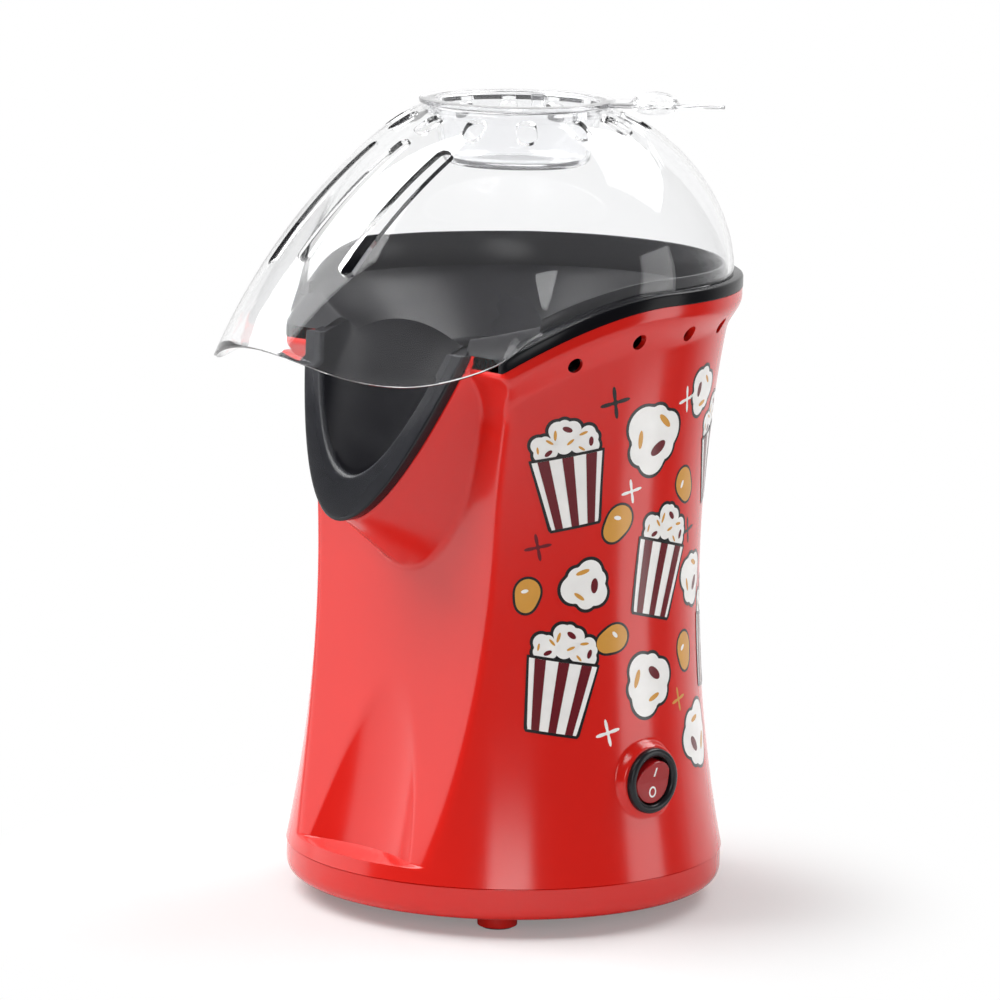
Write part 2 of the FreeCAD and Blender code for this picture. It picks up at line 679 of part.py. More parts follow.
def chute():
    """Black insert: rim band, upstanding wall, popcorn bowl, slide and mouth flange."""
    wall = value("chute_wall")
    band = value("band_height")
    wall_radius = value(INNER_WALL)
    bowl_mouth = value(BOWL_MOUTH)
    floor = value("bowl_floor")
    bowl_top = value("bowl_floor + bowl_rise")
    throat = value("bowl_throat")
    thickness = value("flange_thickness") / math.cos(math.radians(value("flange_lean")))
    reach = value("collar_reach")
    parts = [ring_part(value(BAND), bowl_mouth, 0, band, reach)]
    parts.append(ring_part(wall_radius, bowl_mouth, 0, value("wall_height"), value("wall_reach")))
    spigot = value("collar_radius - shell_wall - fit_gap")
    parts.append(ring_part(spigot, spigot - wall, -value("spigot_depth"), 0, value("wall_reach")))
    inner_half = value("mouth_width") / 2
    back = value("sill_reach")
    way_out = Part.makeBox(2 * inner_half, reach, 2 * bowl_top, Vector(-inner_half, -back - reach, 0))
    bowl = cone_shell(throat, bowl_mouth, floor, bowl_top, wall)
    parts.append(bowl.common(below_rim(band)).cut(way_out))
    deck = ring_part(wall_radius, throat, band - wall, band, reach)
    inside = Part.makeCone(throat, bowl_mouth, bowl_top - floor, Vector(0, 0, floor - wall))
    inside = inside.fuse(Part.makeCylinder(bowl_mouth, bowl_top, Vector(0, 0, bowl_top - wall)))
    parts.append(deck.cut(inside).cut(way_out))
    outer = bow(value("flange_width") / 2, value("beak_top"), value("flange_tip"), flat)
    mouth = bow(inner_half, value("beak_top"), value("mouth_tip"), flat)
    parts.append(leaning(outer, 0, thickness).cut(leaning(mouth, -thickness, 2 * thickness)))
    sill_side = value("sill_side")
    sill = bow(inner_half, sill_side, value("sill_height"), lambda level: -back)
    lip = bow(inner_half, value("beak_top"), value("mouth_tip"),
              lambda level: flange_front(level) + thickness / 2)
    parts.append(slide(sill, lip, wall))
    left, right = (vertex.Point for vertex in sill.Vertexes)
    drop = Vector(0, 0, floor - sill_side)
    dam = Part.Face(Part.Wire([sill] + straight(right, right + drop, left + drop, left)))
    parts.append(dam.extrude(Vector(0, wall, 0)))
    cheek_back = -back + wall
    for side in (-1, 1):
        corners = []
        for depth, level in ((cheek_back, sill_side - wall), (cheek_back, rim_at(cheek_back) + band),
                             (flange_front(value("beak_top")) + thickness / 2, value("beak_top")),
                             (flange_front(sill_side) + thickness / 2, sill_side - wall)):
            corners.append(Vector(side * inner_half - wall / 2, depth, level))
        cheek = Part.Face(Part.Wire(straight(*corners, corners[0])))
        parts.append(cheek.extrude(Vector(wall, 0, 0)))
    underside = Part.makeCone(throat, bowl_mouth, bowl_top - floor, Vector(0, 0, floor - wall / 2))
    seat = value("bowl_floor - chute_wall - seal_height")
    screw = value("screw_radius + screw_gap")
    for degrees in POST_TURNS:
        foot = around(value("chamber_screws"), degrees) + Vector(0, 0, seat)
        boss = Part.makeCylinder(value("boss_radius"), (bowl_top + floor) / 2 - seat, foot).cut(underside)
        parts.append(boss.cut(Part.makeCylinder(screw, value("screw_length"), foot)))
    return parts[0].multiFuse(parts[1:])


def hood_edge(degrees):
    """Lower edge of the hood at an angle: the rim's line behind, the waved lip in front."""
    turn = (degrees + FULL_TURN / 2) % FULL_TURN - FULL_TURN / 2
    radius = value(HOOD)
    corner = math.degrees(math.asin(math.sqrt(1 - (value("lip_back") / radius) ** 2)))
    if abs(turn) >= corner:
        spot = around(radius, turn)
        return spot + Vector(0, 0, rim_at(spot.y) + value("band_height + hood_gap"))
    swing = turn / corner * FULL_TURN / 4
    angle = math.radians(swing)
    cheek = math.sqrt(radius**2 - value("lip_back") ** 2) + value("lip_flare")
    across = cheek * math.sin(angle)
    depth = -value("lip_back") - value("hood_reach - lip_back") * math.cos(angle)
    wave = math.cos(math.radians(FULL_TURN * swing / value("lip_period")))
    return Vector(across, depth, value("lip_height") + value("lip_wave") * wave)


def hood_surface(inset):
    """The hood's smooth surface, or its inside by an inset."""
    opening = value("hood_opening")
    top = value("hood_top")
    front_spread = 80
    egg_power = 4
    egg_share = 0.6
    crown_out, crown_out_front = 0.55, 0.42
    crown_drop, crown_drop_front = 0.14, 0.2
    cheek_tuck, cheek_rise = 0.235, 0.44
    inward = (0.45, 0.6, 0.9, 1.0)
    downward = (0.9, 0.8, 0.45, 0.0)

    def plan(degrees, row):
        turn = abs((degrees + FULL_TURN / 2) % FULL_TURN - FULL_TURN / 2)
        front = 0.5 + 0.5 * math.cos(math.pi * min(turn / front_spread, 1))
        edge = hood_edge(degrees)
        crown = around(opening, degrees) + Vector(0, 0, top)
        swell = max(math.cos(math.radians(turn)), 0) ** egg_power
        egg = around(value(HOOD) + value(f"hood_reach - {HOOD}") * swell, degrees)
        side = Vector(edge.x, edge.y, 0) * (1 - egg_share) + egg * egg_share
        way = Vector(side.x - crown.x, side.y - crown.y, 0)
        fall = top - edge.z
        if row == 0:
            spot = crown
        elif row == 1:
            out = crown_out + (crown_out_front - crown_out) * front
            drop = crown_drop + (crown_drop_front - crown_drop) * front
            spot = crown + way * out - Vector(0, 0, fall * drop)
        elif row == 2:
            spot = side - way * (cheek_tuck * front) + Vector(0, 0, edge.z + fall * cheek_rise)
        else:
            spot = edge
        way.normalize()
        return spot - way * (inset * inward[row]) - Vector(0, 0, inset * downward[row])

    return round_surface(len(inward), HOOD_LINES, plan)


def long_hole(width, length, lean):
    """A round-ended hole through the hood's wall, along Y before it leans forward."""
    half = width / 2
    run = length / 2 - half
    deep = 12 * value("hood_wall")
    hole = Part.makeBox(width, 2 * run, deep, Vector(-half, -run, -deep / 2))
    for end in (-run, run):
        hole = hole.fuse(Part.makeCylinder(half, deep, Vector(0, end, -deep / 2)))
    hole.rotate(Vector(), Vector(1, 0, 0), lean)
    return hole


def dome():
    """Clear hood with its lip, top opening, slots and ring of holes."""
    outside = hood_surface(0)
    inside = hood_surface(value("hood_wall"))
    faces = [outside, inside]
    for outer_edge, inner_edge in zip(end_edges(outside), end_edges(inside)):
        faces.append(Part.makeRuledSurface(outer_edge, inner_edge))
    hood = solid_of(faces)
    clearance = value("hood_gap") / 2
    throat = value("bowl_throat")
    band_space = ring_part(value(BAND) + clearance, throat, -value("band_height"),
                           value("band_height") + clearance, value("collar_reach") + clearance)
    wall_space = ring_part(value(INNER_WALL) + clearance, throat, 0, value("wall_height") + clearance,
                           value("wall_reach") + clearance)
    hood = hood.cut(band_space).cut(wall_space)
    for item in (-1, 0, 1):
        slot = long_hole(value("slot_width"), value("slot_length"), value("slot_lean"))
        slot.translate(Vector(item * value("slot_spacing"), -value("slot_reach"), value("slot_height")))
        hood = hood.cut(slot)
    for degrees in even_turns(count("hole_count"), 0):
        hole = long_hole(value("hole_width"), value("hole_length"), value("hole_lean"))
        hole.translate(Vector(0, -value("hole_ring"), value("hole_height")))
        hole.rotate(Vector(), Vector(0, 0, 1), degrees)
        hood = hood.cut(hole)
    return hood


def measuring_cup():
    """Clear cup with a flat rim and a long thumb tab."""
    rim_low = value("hood_top + cup_gap")
    wall = value("cup_wall")
    rim_high = rim_low + wall
    floor = rim_high - value("cup_depth")
    base = value("cup_base")
    mouth = value("cup_mouth")
    outline = [(0, floor), (base - wall, floor), (base, floor + wall), (mouth, rim_low),
               (value("cup_rim"), rim_low), (value("cup_rim"), rim_high), (mouth - wall, rim_high),
               (base - wall, floor + 2 * wall), (base - 2 * wall, floor + wall), (0, floor + wall)]
    spots = [Vector(radius, 0, level) for radius, level in outline]
    cup = Part.Face(Part.Wire(straight(*spots, spots[0]))).revolve(Vector(), Vector(0, 0, 1), FULL_TURN)
    root = value("tab_width") / 2
    end = value("tab_end") / 2
    start = value("cup_mouth")
    reach = value("tab_reach")
    tab = Part.Face(Part.Wire(
        straight(Vector(end, -reach + end, rim_low), Vector(root, -start, rim_low),
                 Vector(-root, -start, rim_low), Vector(-end, -reach + end, rim_low))
        + [Part.Arc(Vector(-end, -reach + end, rim_low), Vector(0, -reach, rim_low),
                    Vector(end, -reach + end, rim_low)).toShape()]))
    tab = tab.extrude(Vector(0, 0, wall))
    tab = tab.cut(Part.makeCylinder(start, 4 * wall, Vector(0, 0, rim_low - wall)))
    tab.rotate(Vector(), Vector(0, 0, 1), value("tab_turn"))
    return cup.fuse(tab).removeSplitter()


def switch_rocker():
    """Round rocker with two leaning faces, tilted to its off side."""
    pivot = Vector(value("switch_face"), 0, value("switch_height"))
    radius = value("rocker_radius")
    tilt = value("rocker_tilt")
    valley = value("rocker_valley")
    room = 2 * radius
    crest = valley + room * math.tan(math.radians(tilt))
    outline = [(-radius / 2, -room), (crest, -room), (valley, 0), (crest, room), (-radius / 2, room)]
    corners = [Vector(out, -room, level) for out, level in outline]
    profile = Part.Face(Part.Wire(straight(*corners, corners[0]))).extrude(Vector(0, 2 * room, 0))
    disc = Part.makeCylinder(radius, 2 * room, Vector(-room, 0, 0), Vector(1, 0, 0))
    rocker = disc.common(profile)
    rocker.rotate(Vector(), Vector(0, 1, 0), tilt)
    rocker.translate(pivot)
    return rocker


def fan_impeller():
    """Fan with upright blades on a disc and a hub for the shaft."""
    bottom = value("housing_bottom + housing_height - fan_blade - fan_disc - fan_drop")
    disc = value("fan_disc")
    height = value("fan_blade")
    bore = value("shaft_radius")
    parts = [Part.makeCylinder(value("fan_radius"), disc, Vector(0, 0, bottom))]
    parts.append(Part.makeCylinder(value("fan_hub"), height, Vector(0, 0, bottom)))
    length = value("fan_radius - fan_inner")
    for degrees in even_turns(count("fan_blades")):
        blade = Part.makeBox(disc, length, height, Vector(-disc / 2, -value("fan_radius"), bottom))
        blade.rotate(Vector(), Vector(0, 0, 1), degrees)
        parts.append(blade)
    fan = parts[0].multiFuse(parts[1:])
    fan = fan.common(Part.makeCylinder(value("fan_radius"), 2 * height, Vector(0, 0, bottom)))
    return fan.cut(Part.makeCylinder(bore, 4 * height, Vector(0, 0, bottom - height))).removeSplitter()


def popping_chamber():
    """Aluminium cup with a flat flange and slanting air louvres near its floor."""
    sheet_wall = value("chamber_sheet")
    radius = value("chamber_radius")
    top = value("bowl_floor - chute_wall - seal_height")
    floor = top - value("chamber_depth")
    flange = value("chamber_flange")
    outline = [(0, floor), (radius, floor), (radius, top - sheet_wall), (flange, top - sheet_wall),
               (flange, top), (radius - sheet_wall, top), (radius - sheet_wall, floor + sheet_wall),
               (0, floor + sheet_wall)]
    spots = [Vector(across, 0, level) for across, level in outline]
    cup = Part.Face(Part.Wire(straight(*spots, spots[0]))).revolve(Vector(), Vector(0, 0, 1), FULL_TURN)
    for degrees in even_turns(count("louvre_count")):
        slit = Part.makeBox(value("louvre_width"), 6 * sheet_wall, value("louvre_length"),
                            Vector(-value("louvre_width") / 2, -radius - 3 * sheet_wall, 0))
        slit.rotate(Vector(), Vector(0, 1, 0), value("louvre_slant"))
        slit.translate(Vector(0, 0, floor + value("louvre_height")))
        slit.rotate(Vector(), Vector(0, 0, 1), degrees)
        cup = cup.cut(slit)
    for degrees in POST_TURNS:
        start = around(value("chamber_screws"), degrees) + Vector(0, 0, floor)
        cup = cup.cut(Part.makeCylinder(value("screw_radius + screw_gap"), 2 * value("chamber_depth"), start))
    return cup


shaped("body_shell", body_shell())
shaped("chute", chute())
shaped("dome", dome())
shaped("measuring_cup", measuring_cup())
shaped("switch_rocker", switch_rocker())
shaped("fan_impeller", fan_impeller())
shaped("popping_chamber", popping_chamber())

# Base plate with foot posts, air inlets and the posts that carry the fan housing

FEET = [(f"{x}foot_spacing / 2", f"{y}foot_spacing / 2") for x in ("", "-") for y in ("", "-")]
dish = turned("base_dish", (
    ("0", "base_bottom"),
    ("base_radius - base_round", "base_bottom"),
    ("base_radius - base_round * (1 - sin(30 deg))", "base_bottom + base_round * (1 - cos(30 deg))"),
    ("base_radius - base_round * (1 - sin(60 deg))", "base_bottom + base_round * (1 - cos(60 deg))"),
    ("base_radius", "base_bottom + base_round"),
    ("base_radius", "parting_height - parting_gap"),
    ("base_radius - base_wall", "parting_height - parting_gap"),
    ("base_radius - base_wall", "base_bottom + base_round"),
    ("base_radius - base_round", "base_bottom + base_wall"),
    ("0", "base_bottom + base_wall")))
foot_posts = [
    cylinder(f"foot_post_{item}", "foot_radius", "base_bottom - pad_proud + base_wall / 2",
             (x, y, "pad_proud"))
    for item, (x, y) in enumerate(FEET)]
pad_wells = [cylinder(f"pad_well_{item}", "pad_radius + fit_gap", "pad_height", (x, y, "0"))
             for item, (x, y) in enumerate(FEET)]
columns = placed_ring("column", "post_radius", "housing_bottom - base_bottom - base_wall / 2", "post_ring",
                      POST_TURNS, "base_bottom + base_wall / 2")
inlets = []
for item, turn in enumerate(even_turns(count("inlet_count"), FULL_TURN / count("inlet_count") / 2)):
    near = "(inlet_ring - inlet_length / 2)"
    corner = (f"{near} * sin({turn} deg) - inlet_width / 2 * cos({turn} deg)",
              f"-{near} * cos({turn} deg) - inlet_width / 2 * sin({turn} deg)",
              "base_bottom - base_wall")
    inlets.append(box(f"inlet_{item}", ("inlet_length", "inlet_width", "base_wall * 3"), corner,
                      (Vector(0, 0, 1), turn - FULL_TURN / 4)))
pillars = placed_ring("pillar", "boss_radius", "parting_height - base_bottom - base_wall / 2 - parting_gap",
                      "boss_ring", BOSS_TURNS, "base_bottom + base_wall / 2")
pillar_holes = placed_ring("pillar_hole", "screw_radius + screw_gap", "parting_height", "boss_ring",
                           BOSS_TURNS, "0")
head_wells = placed_ring("head_well", "screw_head + fit_gap", "base_screw_seat", "boss_ring", BOSS_TURNS, "0")
BOARD_CORNERS = [(f"{x}(board_length / 2 - standoff_inset)", f"{y}(board_width / 2 - standoff_inset)")
                 for x in ("", "-") for y in ("", "-")]
standoffs = [cylinder(f"standoff_{item}", "standoff_radius", "board_lift + base_wall / 2",
                      (x, y, "base_bottom + base_wall / 2")) for item, (x, y) in enumerate(BOARD_CORNERS)]
column_holes = placed_ring("column_hole", "screw_radius + screw_gap", "screw_length + fit_gap", "post_ring",
                           POST_TURNS, "housing_bottom - screw_length - fit_gap")
plate = fused("base_solid", dish, *foot_posts, *columns, *pillars, *standoffs)
openings = fused("base_openings", *inlets, *column_holes, *pillar_holes, *head_wells, *pad_wells)
node("base_plate", cut("base_plate", plate, openings))
node("foot_pads", grouped("foot_pads", [
    cylinder(f"foot_pad_{item}", "pad_radius", "pad_height", (x, y, "0"))
    for item, (x, y) in enumerate(FEET)]))

# Switch: housing with its well, terminals and lamp

AWAY = (Vector(0, 1, 0), 90)
bezel = cylinder("bezel", "bezel_radius", "bezel_height", ("switch_face", "0", "switch_height"), AWAY)
switch_barrel = cylinder("switch_barrel", "barrel_radius", "barrel_length",
                         ("switch_face - barrel_length", "0", "switch_height"), AWAY)
well = cylinder("switch_well", "rocker_radius + rocker_gap", "well_depth + bezel_height * 2",
                ("switch_face - well_depth", "0", "switch_height"), AWAY)
node("switch_housing", cut("switch_housing", fused("switch_case", bezel, switch_barrel), well))
node("switch_terminals", grouped("switch_terminals", [
    box(f"terminal_{item}", ("terminal_length", "terminal_width", "terminal_sheet"),
        ("switch_face - barrel_length - terminal_length", "-terminal_width / 2", f"switch_height + ({lift})"))
    for item, lift in enumerate(("barrel_radius / 2", "-terminal_sheet / 2",
                                 "-barrel_radius / 2 - terminal_sheet"))]))
node("switch_lamp", cylinder("switch_lamp", "lamp_radius", "well_depth - rocker_radius / 2 - rocker_gap * 2",
                             ("switch_face - well_depth", "0", "switch_height"), AWAY))

# Fan housing on the posts, with its motor bridge below, and the motor

FAN_TOP = "housing_bottom + housing_height"
BRIDGE = "housing_bottom"
MOTOR_TOP = "housing_bottom"
MOTOR_BOTTOM = "housing_bottom - motor_length"
scroll = turned("fan_scroll", (
    ("inlet_eye", BRIDGE),
    ("housing_flange", BRIDGE),
    ("housing_flange", f"{BRIDGE} + housing_wall"),
    ("housing_radius", f"{BRIDGE} + housing_wall"),
    ("housing_radius", FAN_TOP),
    ("housing_radius - housing_wall", FAN_TOP),
    ("housing_radius - housing_wall", f"{BRIDGE} + housing_wall"),
    ("inlet_eye", f"{BRIDGE} + housing_wall")))
spider = box("spider_x", ("inlet_eye * 2 + housing_wall * 2", "bridge_width", "bridge_sheet"),
             ("-inlet_eye - housing_wall", "-bridge_width / 2", BRIDGE))
hub = cylinder("spider_hub", "motor_radius", "bridge_sheet", ("0", "0", BRIDGE))
hub_hole = cylinder("spider_hole", "bush_radius + fit_gap", "bridge_sheet * 3",
                    ("0", "0", f"{BRIDGE} - bridge_sheet"))
flange_holes = placed_ring("flange_hole", "screw_radius + screw_gap", "housing_wall * 3", "post_ring",
                           POST_TURNS, f"{BRIDGE} - housing_wall")
MOTOR_SCREW = ("motor_screw_ring", "-motor_screw_ring")
spider_holes = [cylinder(f"spider_hole_{item}", "screw_radius + screw_gap", "bridge_sheet * 3",
                         (x, "0", f"{BRIDGE} - bridge_sheet")) for item, x in enumerate(MOTOR_SCREW)]
fan_case = fused("fan_case", scroll, spider, hub)
fan_openings = grouped("fan_openings", [hub_hole] + flange_holes + spider_holes)
node("fan_housing", cut("fan_housing", fan_case, fan_openings))

can = turned("motor_cup", (
    ("bush_radius", MOTOR_BOTTOM),
    ("motor_radius", MOTOR_BOTTOM),
    ("motor_radius", f"{MOTOR_TOP} - endcap_height"),
    ("motor_radius - motor_sheet", f"{MOTOR_TOP} - endcap_height"),
    ("motor_radius - motor_sheet", f"{MOTOR_BOTTOM} + motor_sheet"),
    ("bush_radius", f"{MOTOR_BOTTOM} + motor_sheet")))
node("motor_can", can)
endcap = turned("endcap_disc", (
    ("bush_radius", f"{MOTOR_TOP} - endcap_height"),
    ("motor_radius", f"{MOTOR_TOP} - endcap_height"),
    ("motor_radius", MOTOR_TOP),
    ("bush_radius", MOTOR_TOP)))
endcap_holes = [cylinder(f"endcap_hole_{item}", "screw_radius + screw_gap", "endcap_height * 3",
                         (x, "0", f"{MOTOR_TOP} - endcap_height * 2")) for item, x in enumerate(MOTOR_SCREW)]
node("motor_endcap", cut("motor_endcap", endcap, grouped("endcap_holes", endcap_holes)))
bushes = [turned(f"bush_{item}", (
    ("shaft_radius + shaft_gap", low),
    ("bush_radius", low),
    ("bush_radius", f"{low} + bush_length"),
    ("shaft_radius + shaft_gap", f"{low} + bush_length"))) for item, low in
    enumerate((MOTOR_BOTTOM, f"{MOTOR_TOP} - bush_length"))]
node("motor_bushes", grouped("motor_bushes", bushes))
ARMATURE_LOW = f"{MOTOR_BOTTOM} + motor_sheet + winding_length * 2"
magnet_ring = turned("magnet_ring", (
    ("motor_radius - motor_sheet - magnet_sheet", ARMATURE_LOW),
    ("motor_radius - motor_sheet", ARMATURE_LOW),
    ("motor_radius - motor_sheet", f"{ARMATURE_LOW} + armature_length"),
    ("motor_radius - motor_sheet - magnet_sheet", f"{ARMATURE_LOW} + armature_length")))
magnet_gap = box("magnet_gap", ("motor_radius * 2", "magnet_space", "armature_length * 2"),
                 ("-motor_radius", "-magnet_space / 2", f"{ARMATURE_LOW} - armature_length / 2"))
node("motor_magnets", cut("motor_magnets", magnet_ring, magnet_gap))
COMMUTATOR_LOW = f"{ARMATURE_LOW} + armature_length + winding_length"
node("motor_brushes", grouped("motor_brushes", [
    box(f"brush_{item}", ("brush_size", "brush_length", "brush_size"),
        ("-brush_size / 2", depth, f"{COMMUTATOR_LOW} + commutator_length / 2 - brush_size / 2"))
    for item, depth in enumerate(("commutator_radius + brush_gap",
                                  "-commutator_radius - brush_gap - brush_length"))]))

# Rotor: shaft, armature and fan clip

SHAFT_LOW = f"{MOTOR_BOTTOM} - motor_sheet"
node("motor_shaft", cylinder("motor_shaft", "shaft_radius", "motor_length + motor_sheet + shaft_stub",
                             ("0", "0", SHAFT_LOW)))


def sleeve(name, outer, low, high):
    """A sleeve pressed on the shaft."""
    return turned(name, (("shaft_radius", low), (outer, low), (outer, high), ("shaft_radius", high)))


node("armature_core", sleeve("armature_core", "motor_radius - motor_sheet - magnet_sheet - armature_gap",
                             ARMATURE_LOW, f"{ARMATURE_LOW} + armature_length"))
node("armature_windings", grouped("armature_windings", [
    sleeve("winding_low", "winding_radius", f"{ARMATURE_LOW} - winding_length", ARMATURE_LOW),
    sleeve("winding_high", "winding_radius", f"{ARMATURE_LOW} + armature_length", COMMUTATOR_LOW)]))
node("commutator", sleeve("commutator", "commutator_radius", COMMUTATOR_LOW,
                          f"{COMMUTATOR_LOW} + commutator_length"))
FAN_LOW = f"{FAN_TOP} - fan_blade - fan_disc - fan_drop"
node("fan_clip", sleeve("fan_clip", "clip_radius", f"{FAN_LOW} - clip_height", FAN_LOW))

# Heater and hot-air path over the fan housing

CHAMBER_TOP = "bowl_floor - chute_wall - seal_height"
CHAMBER_LOW = f"{CHAMBER_TOP} - chamber_depth"
node("heat_shield", turned("heat_shield", (
    ("duct_radius - duct_sheet", f"{BRIDGE} + housing_wall"),
    ("duct_radius", f"{BRIDGE} + housing_wall"),
    ("duct_radius", f"{CHAMBER_TOP} - chamber_sheet"),
    ("duct_radius - duct_sheet - duct_lip", f"{CHAMBER_TOP} - chamber_sheet"),
    ("duct_radius - duct_sheet - duct_lip", f"{CHAMBER_TOP} - chamber_sheet - duct_sheet"),
    ("duct_radius - duct_sheet", f"{CHAMBER_TOP} - chamber_sheet - duct_sheet"))))
node("mica_liner", turned("mica_liner", (
    ("duct_radius - duct_sheet - mica_sheet", FAN_TOP),
    ("duct_radius - duct_sheet", FAN_TOP),
    ("duct_radius - duct_sheet", f"{CHAMBER_LOW} + chamber_depth / 2"),
    ("duct_radius - duct_sheet - mica_sheet", f"{CHAMBER_LOW} + chamber_depth / 2"))))
node("chamber_seal", turned("chamber_seal", (
    ("seal_radius - seal_width", CHAMBER_TOP),
    ("seal_radius", CHAMBER_TOP),
    ("seal_radius", f"{CHAMBER_TOP} + seal_height"),
    ("seal_radius - seal_width", f"{CHAMBER_TOP} + seal_height"))))
sheets = [box("mica_x", ("former_width", "mica_sheet * 2", "former_height"),
              ("-former_width / 2", "-mica_sheet", FAN_TOP)),
          box("mica_y", ("mica_sheet * 2", "former_width", "former_height"),
              ("-mica_sheet", "-former_width / 2", FAN_TOP))]
coil = doc.addObject("Part::Torus", "heater_ring")
coil.setExpression("Radius1", bound("coil_radius"))
coil.setExpression("Radius2", bound("coil_wire"))
put(coil, ("0", "0", f"{FAN_TOP} + former_height / 2"))
coil_way = doc.addObject("Part::Torus", "heater_way")
coil_way.setExpression("Radius1", bound("coil_radius"))
coil_way.setExpression("Radius2", bound("coil_wire + fit_gap"))
put(coil_way, ("0", "0", f"{FAN_TOP} + former_height / 2"))
node("mica_frame", cut("mica_frame", fused("mica_cross", *sheets), coil_way))
node("heater_coil", coil)

# Electrical pieces on the base plate and the chamber

BASE_TOP = "base_bottom + base_wall"
board = box("board_sheet", ("board_length", "board_width", "board_sheet"),
            ("-board_length / 2", "-board_width / 2", f"{BASE_TOP} + board_lift"))
node("rectifier_board", board)
node("rectifier_diodes", grouped("rectifier_diodes", [
    cylinder(f"diode_{item}", "diode_radius", "diode_length",
             (f"-board_length / 2 + board_length * {item + 0.5} / 4", "-diode_length / 2",
              f"{BASE_TOP} + board_lift + board_sheet + diode_radius"), (Vector(1, 0, 0), -90))
    for item in range(4)]))
node("thermostat", cylinder("thermostat", "cutout_radius", "cutout_height",
                            ("0", "0", f"{CHAMBER_LOW} - cutout_height")))
node("thermal_fuse", cylinder("thermal_fuse", "fuse_radius", "fuse_length",
                              ("cutout_radius + fuse_radius * 2", "-fuse_length / 2",
                               f"{CHAMBER_LOW} - fuse_radius"),
                              (Vector(1, 0, 0), -90)))

# Cord gland at the back

BACKWARD = (Vector(1, 0, 0), -90)
GLAND_FACE = "waist_radius + (waist_height - gland_height + gland_radius)^2 / (2 * barrel_curve) + fit_gap"
gland_body = fused(
    "gland_body",
    cylinder("gland_flange", "gland_radius", "gland_flange", ("0", GLAND_FACE, "gland_height"), BACKWARD),
    cylinder("gland_neck", "gland_neck", "gland_length",
             ("0", f"{GLAND_FACE} - gland_length", "gland_height"), BACKWARD))
gland_hole = cylinder("gland_hole", "gland_bore", "gland_length * 3",
                      ("0", f"{GLAND_FACE} - gland_length * 2", "gland_height"), BACKWARD)
node("cord_gland", cut("cord_gland", gland_body, gland_hole))

# Screws


def screw_group(label, places, length="screw_length", rising=False):
    """Screws with round heads; places give each head's seat, and rising ones have the head below."""
    screws = []
    for item, (x, y, seat) in enumerate(places):
        shank_low = seat if rising else f"{seat} - {length}"
        head_low = f"{seat} - screw_head_height" if rising else seat
        shank = cylinder(f"{label}_shank_{item}", "screw_radius", length, (x, y, shank_low))
        head = cylinder(f"{label}_head_{item}", "screw_head", "screw_head_height", (x, y, head_low))
        screws.append(fused(f"{label}_{item}", shank, head))
    return node(label, grouped(label, screws))


screw_group("housing_screws", ring_seats("post_ring", POST_TURNS, f"{BRIDGE} + housing_wall"))
screw_group("base_screws", ring_seats("boss_ring", BOSS_TURNS, "base_screw_seat"), "base_screw_length", True)
CHAMBER_SEATS = ring_seats("chamber_screws", POST_TURNS, f"{CHAMBER_TOP} - chamber_sheet")
screw_group("chamber_screws", CHAMBER_SEATS, rising=True)
screw_group("motor_screws", [(x, "0", f"{BRIDGE} + bridge_sheet") for x in MOTOR_SCREW])

doc.recompute()
for item in doc.Objects:
    if "Invalid" in item.State or "Error" in item.State:
        raise RuntimeError(f"{item.Label} failed: {item.State}")
for feature in nodes:
    if feature.Shape.isNull() or not feature.Shape.isValid():
        raise RuntimeError(f"{feature.Label} has no valid shape")
os.makedirs("parts", exist_ok=True)
for feature in nodes:
    feature.Shape.exportStep(f"parts/{feature.Label}.step")
    solids = len(feature.Shape.Solids)
    print(f"{feature.Label}: {solids} solid(s), {feature.Shape.Volume / 1000:.2f} cm3")
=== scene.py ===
"""Looks of a hot-air popcorn maker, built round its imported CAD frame."""
import json
import logging
import math
from dataclasses import dataclass, field
from enum import Enum
from typing import Any, Callable, ClassVar, Iterable, Sequence

import bmesh
import bpy
import numpy as np
from mathutils import Matrix, Vector


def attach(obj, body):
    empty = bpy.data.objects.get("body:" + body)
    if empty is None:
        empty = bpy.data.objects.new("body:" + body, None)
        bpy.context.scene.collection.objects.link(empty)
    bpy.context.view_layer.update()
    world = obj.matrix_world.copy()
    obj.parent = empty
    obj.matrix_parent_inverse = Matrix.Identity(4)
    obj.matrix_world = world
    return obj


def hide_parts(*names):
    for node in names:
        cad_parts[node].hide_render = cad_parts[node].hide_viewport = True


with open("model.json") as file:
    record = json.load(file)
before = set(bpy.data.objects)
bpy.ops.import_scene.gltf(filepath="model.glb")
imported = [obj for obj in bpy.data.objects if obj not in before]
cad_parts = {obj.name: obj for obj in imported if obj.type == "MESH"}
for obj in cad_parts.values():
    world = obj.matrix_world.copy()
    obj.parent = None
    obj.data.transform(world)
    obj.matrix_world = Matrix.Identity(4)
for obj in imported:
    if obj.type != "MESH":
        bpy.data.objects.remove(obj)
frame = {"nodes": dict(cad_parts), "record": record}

log = logging.getLogger("popcorn_maker")

MM = 0.001
AXIS_BACK = 20.7
FAR = 400.0
Array = np.ndarray
Colour = tuple[float, float, float]
Pair = tuple[float, float]
Place = tuple[float, float, float]
Faces = list[tuple[int, ...]]
Solid = tuple[Array, Faces]
Outline = Callable[[float], float]


class Body(str, Enum):
    """Bodies of the frame that carry pieces of the scene."""

    HOUSING = "housing"
    ROCKER = "rocker"
    COVER = "cover"
    CUP = "cup"


class Axis(Enum):
    """Axis that a turned piece is spun about."""

    UP = "up"
    SWITCH = "switch"


# Shader graphs


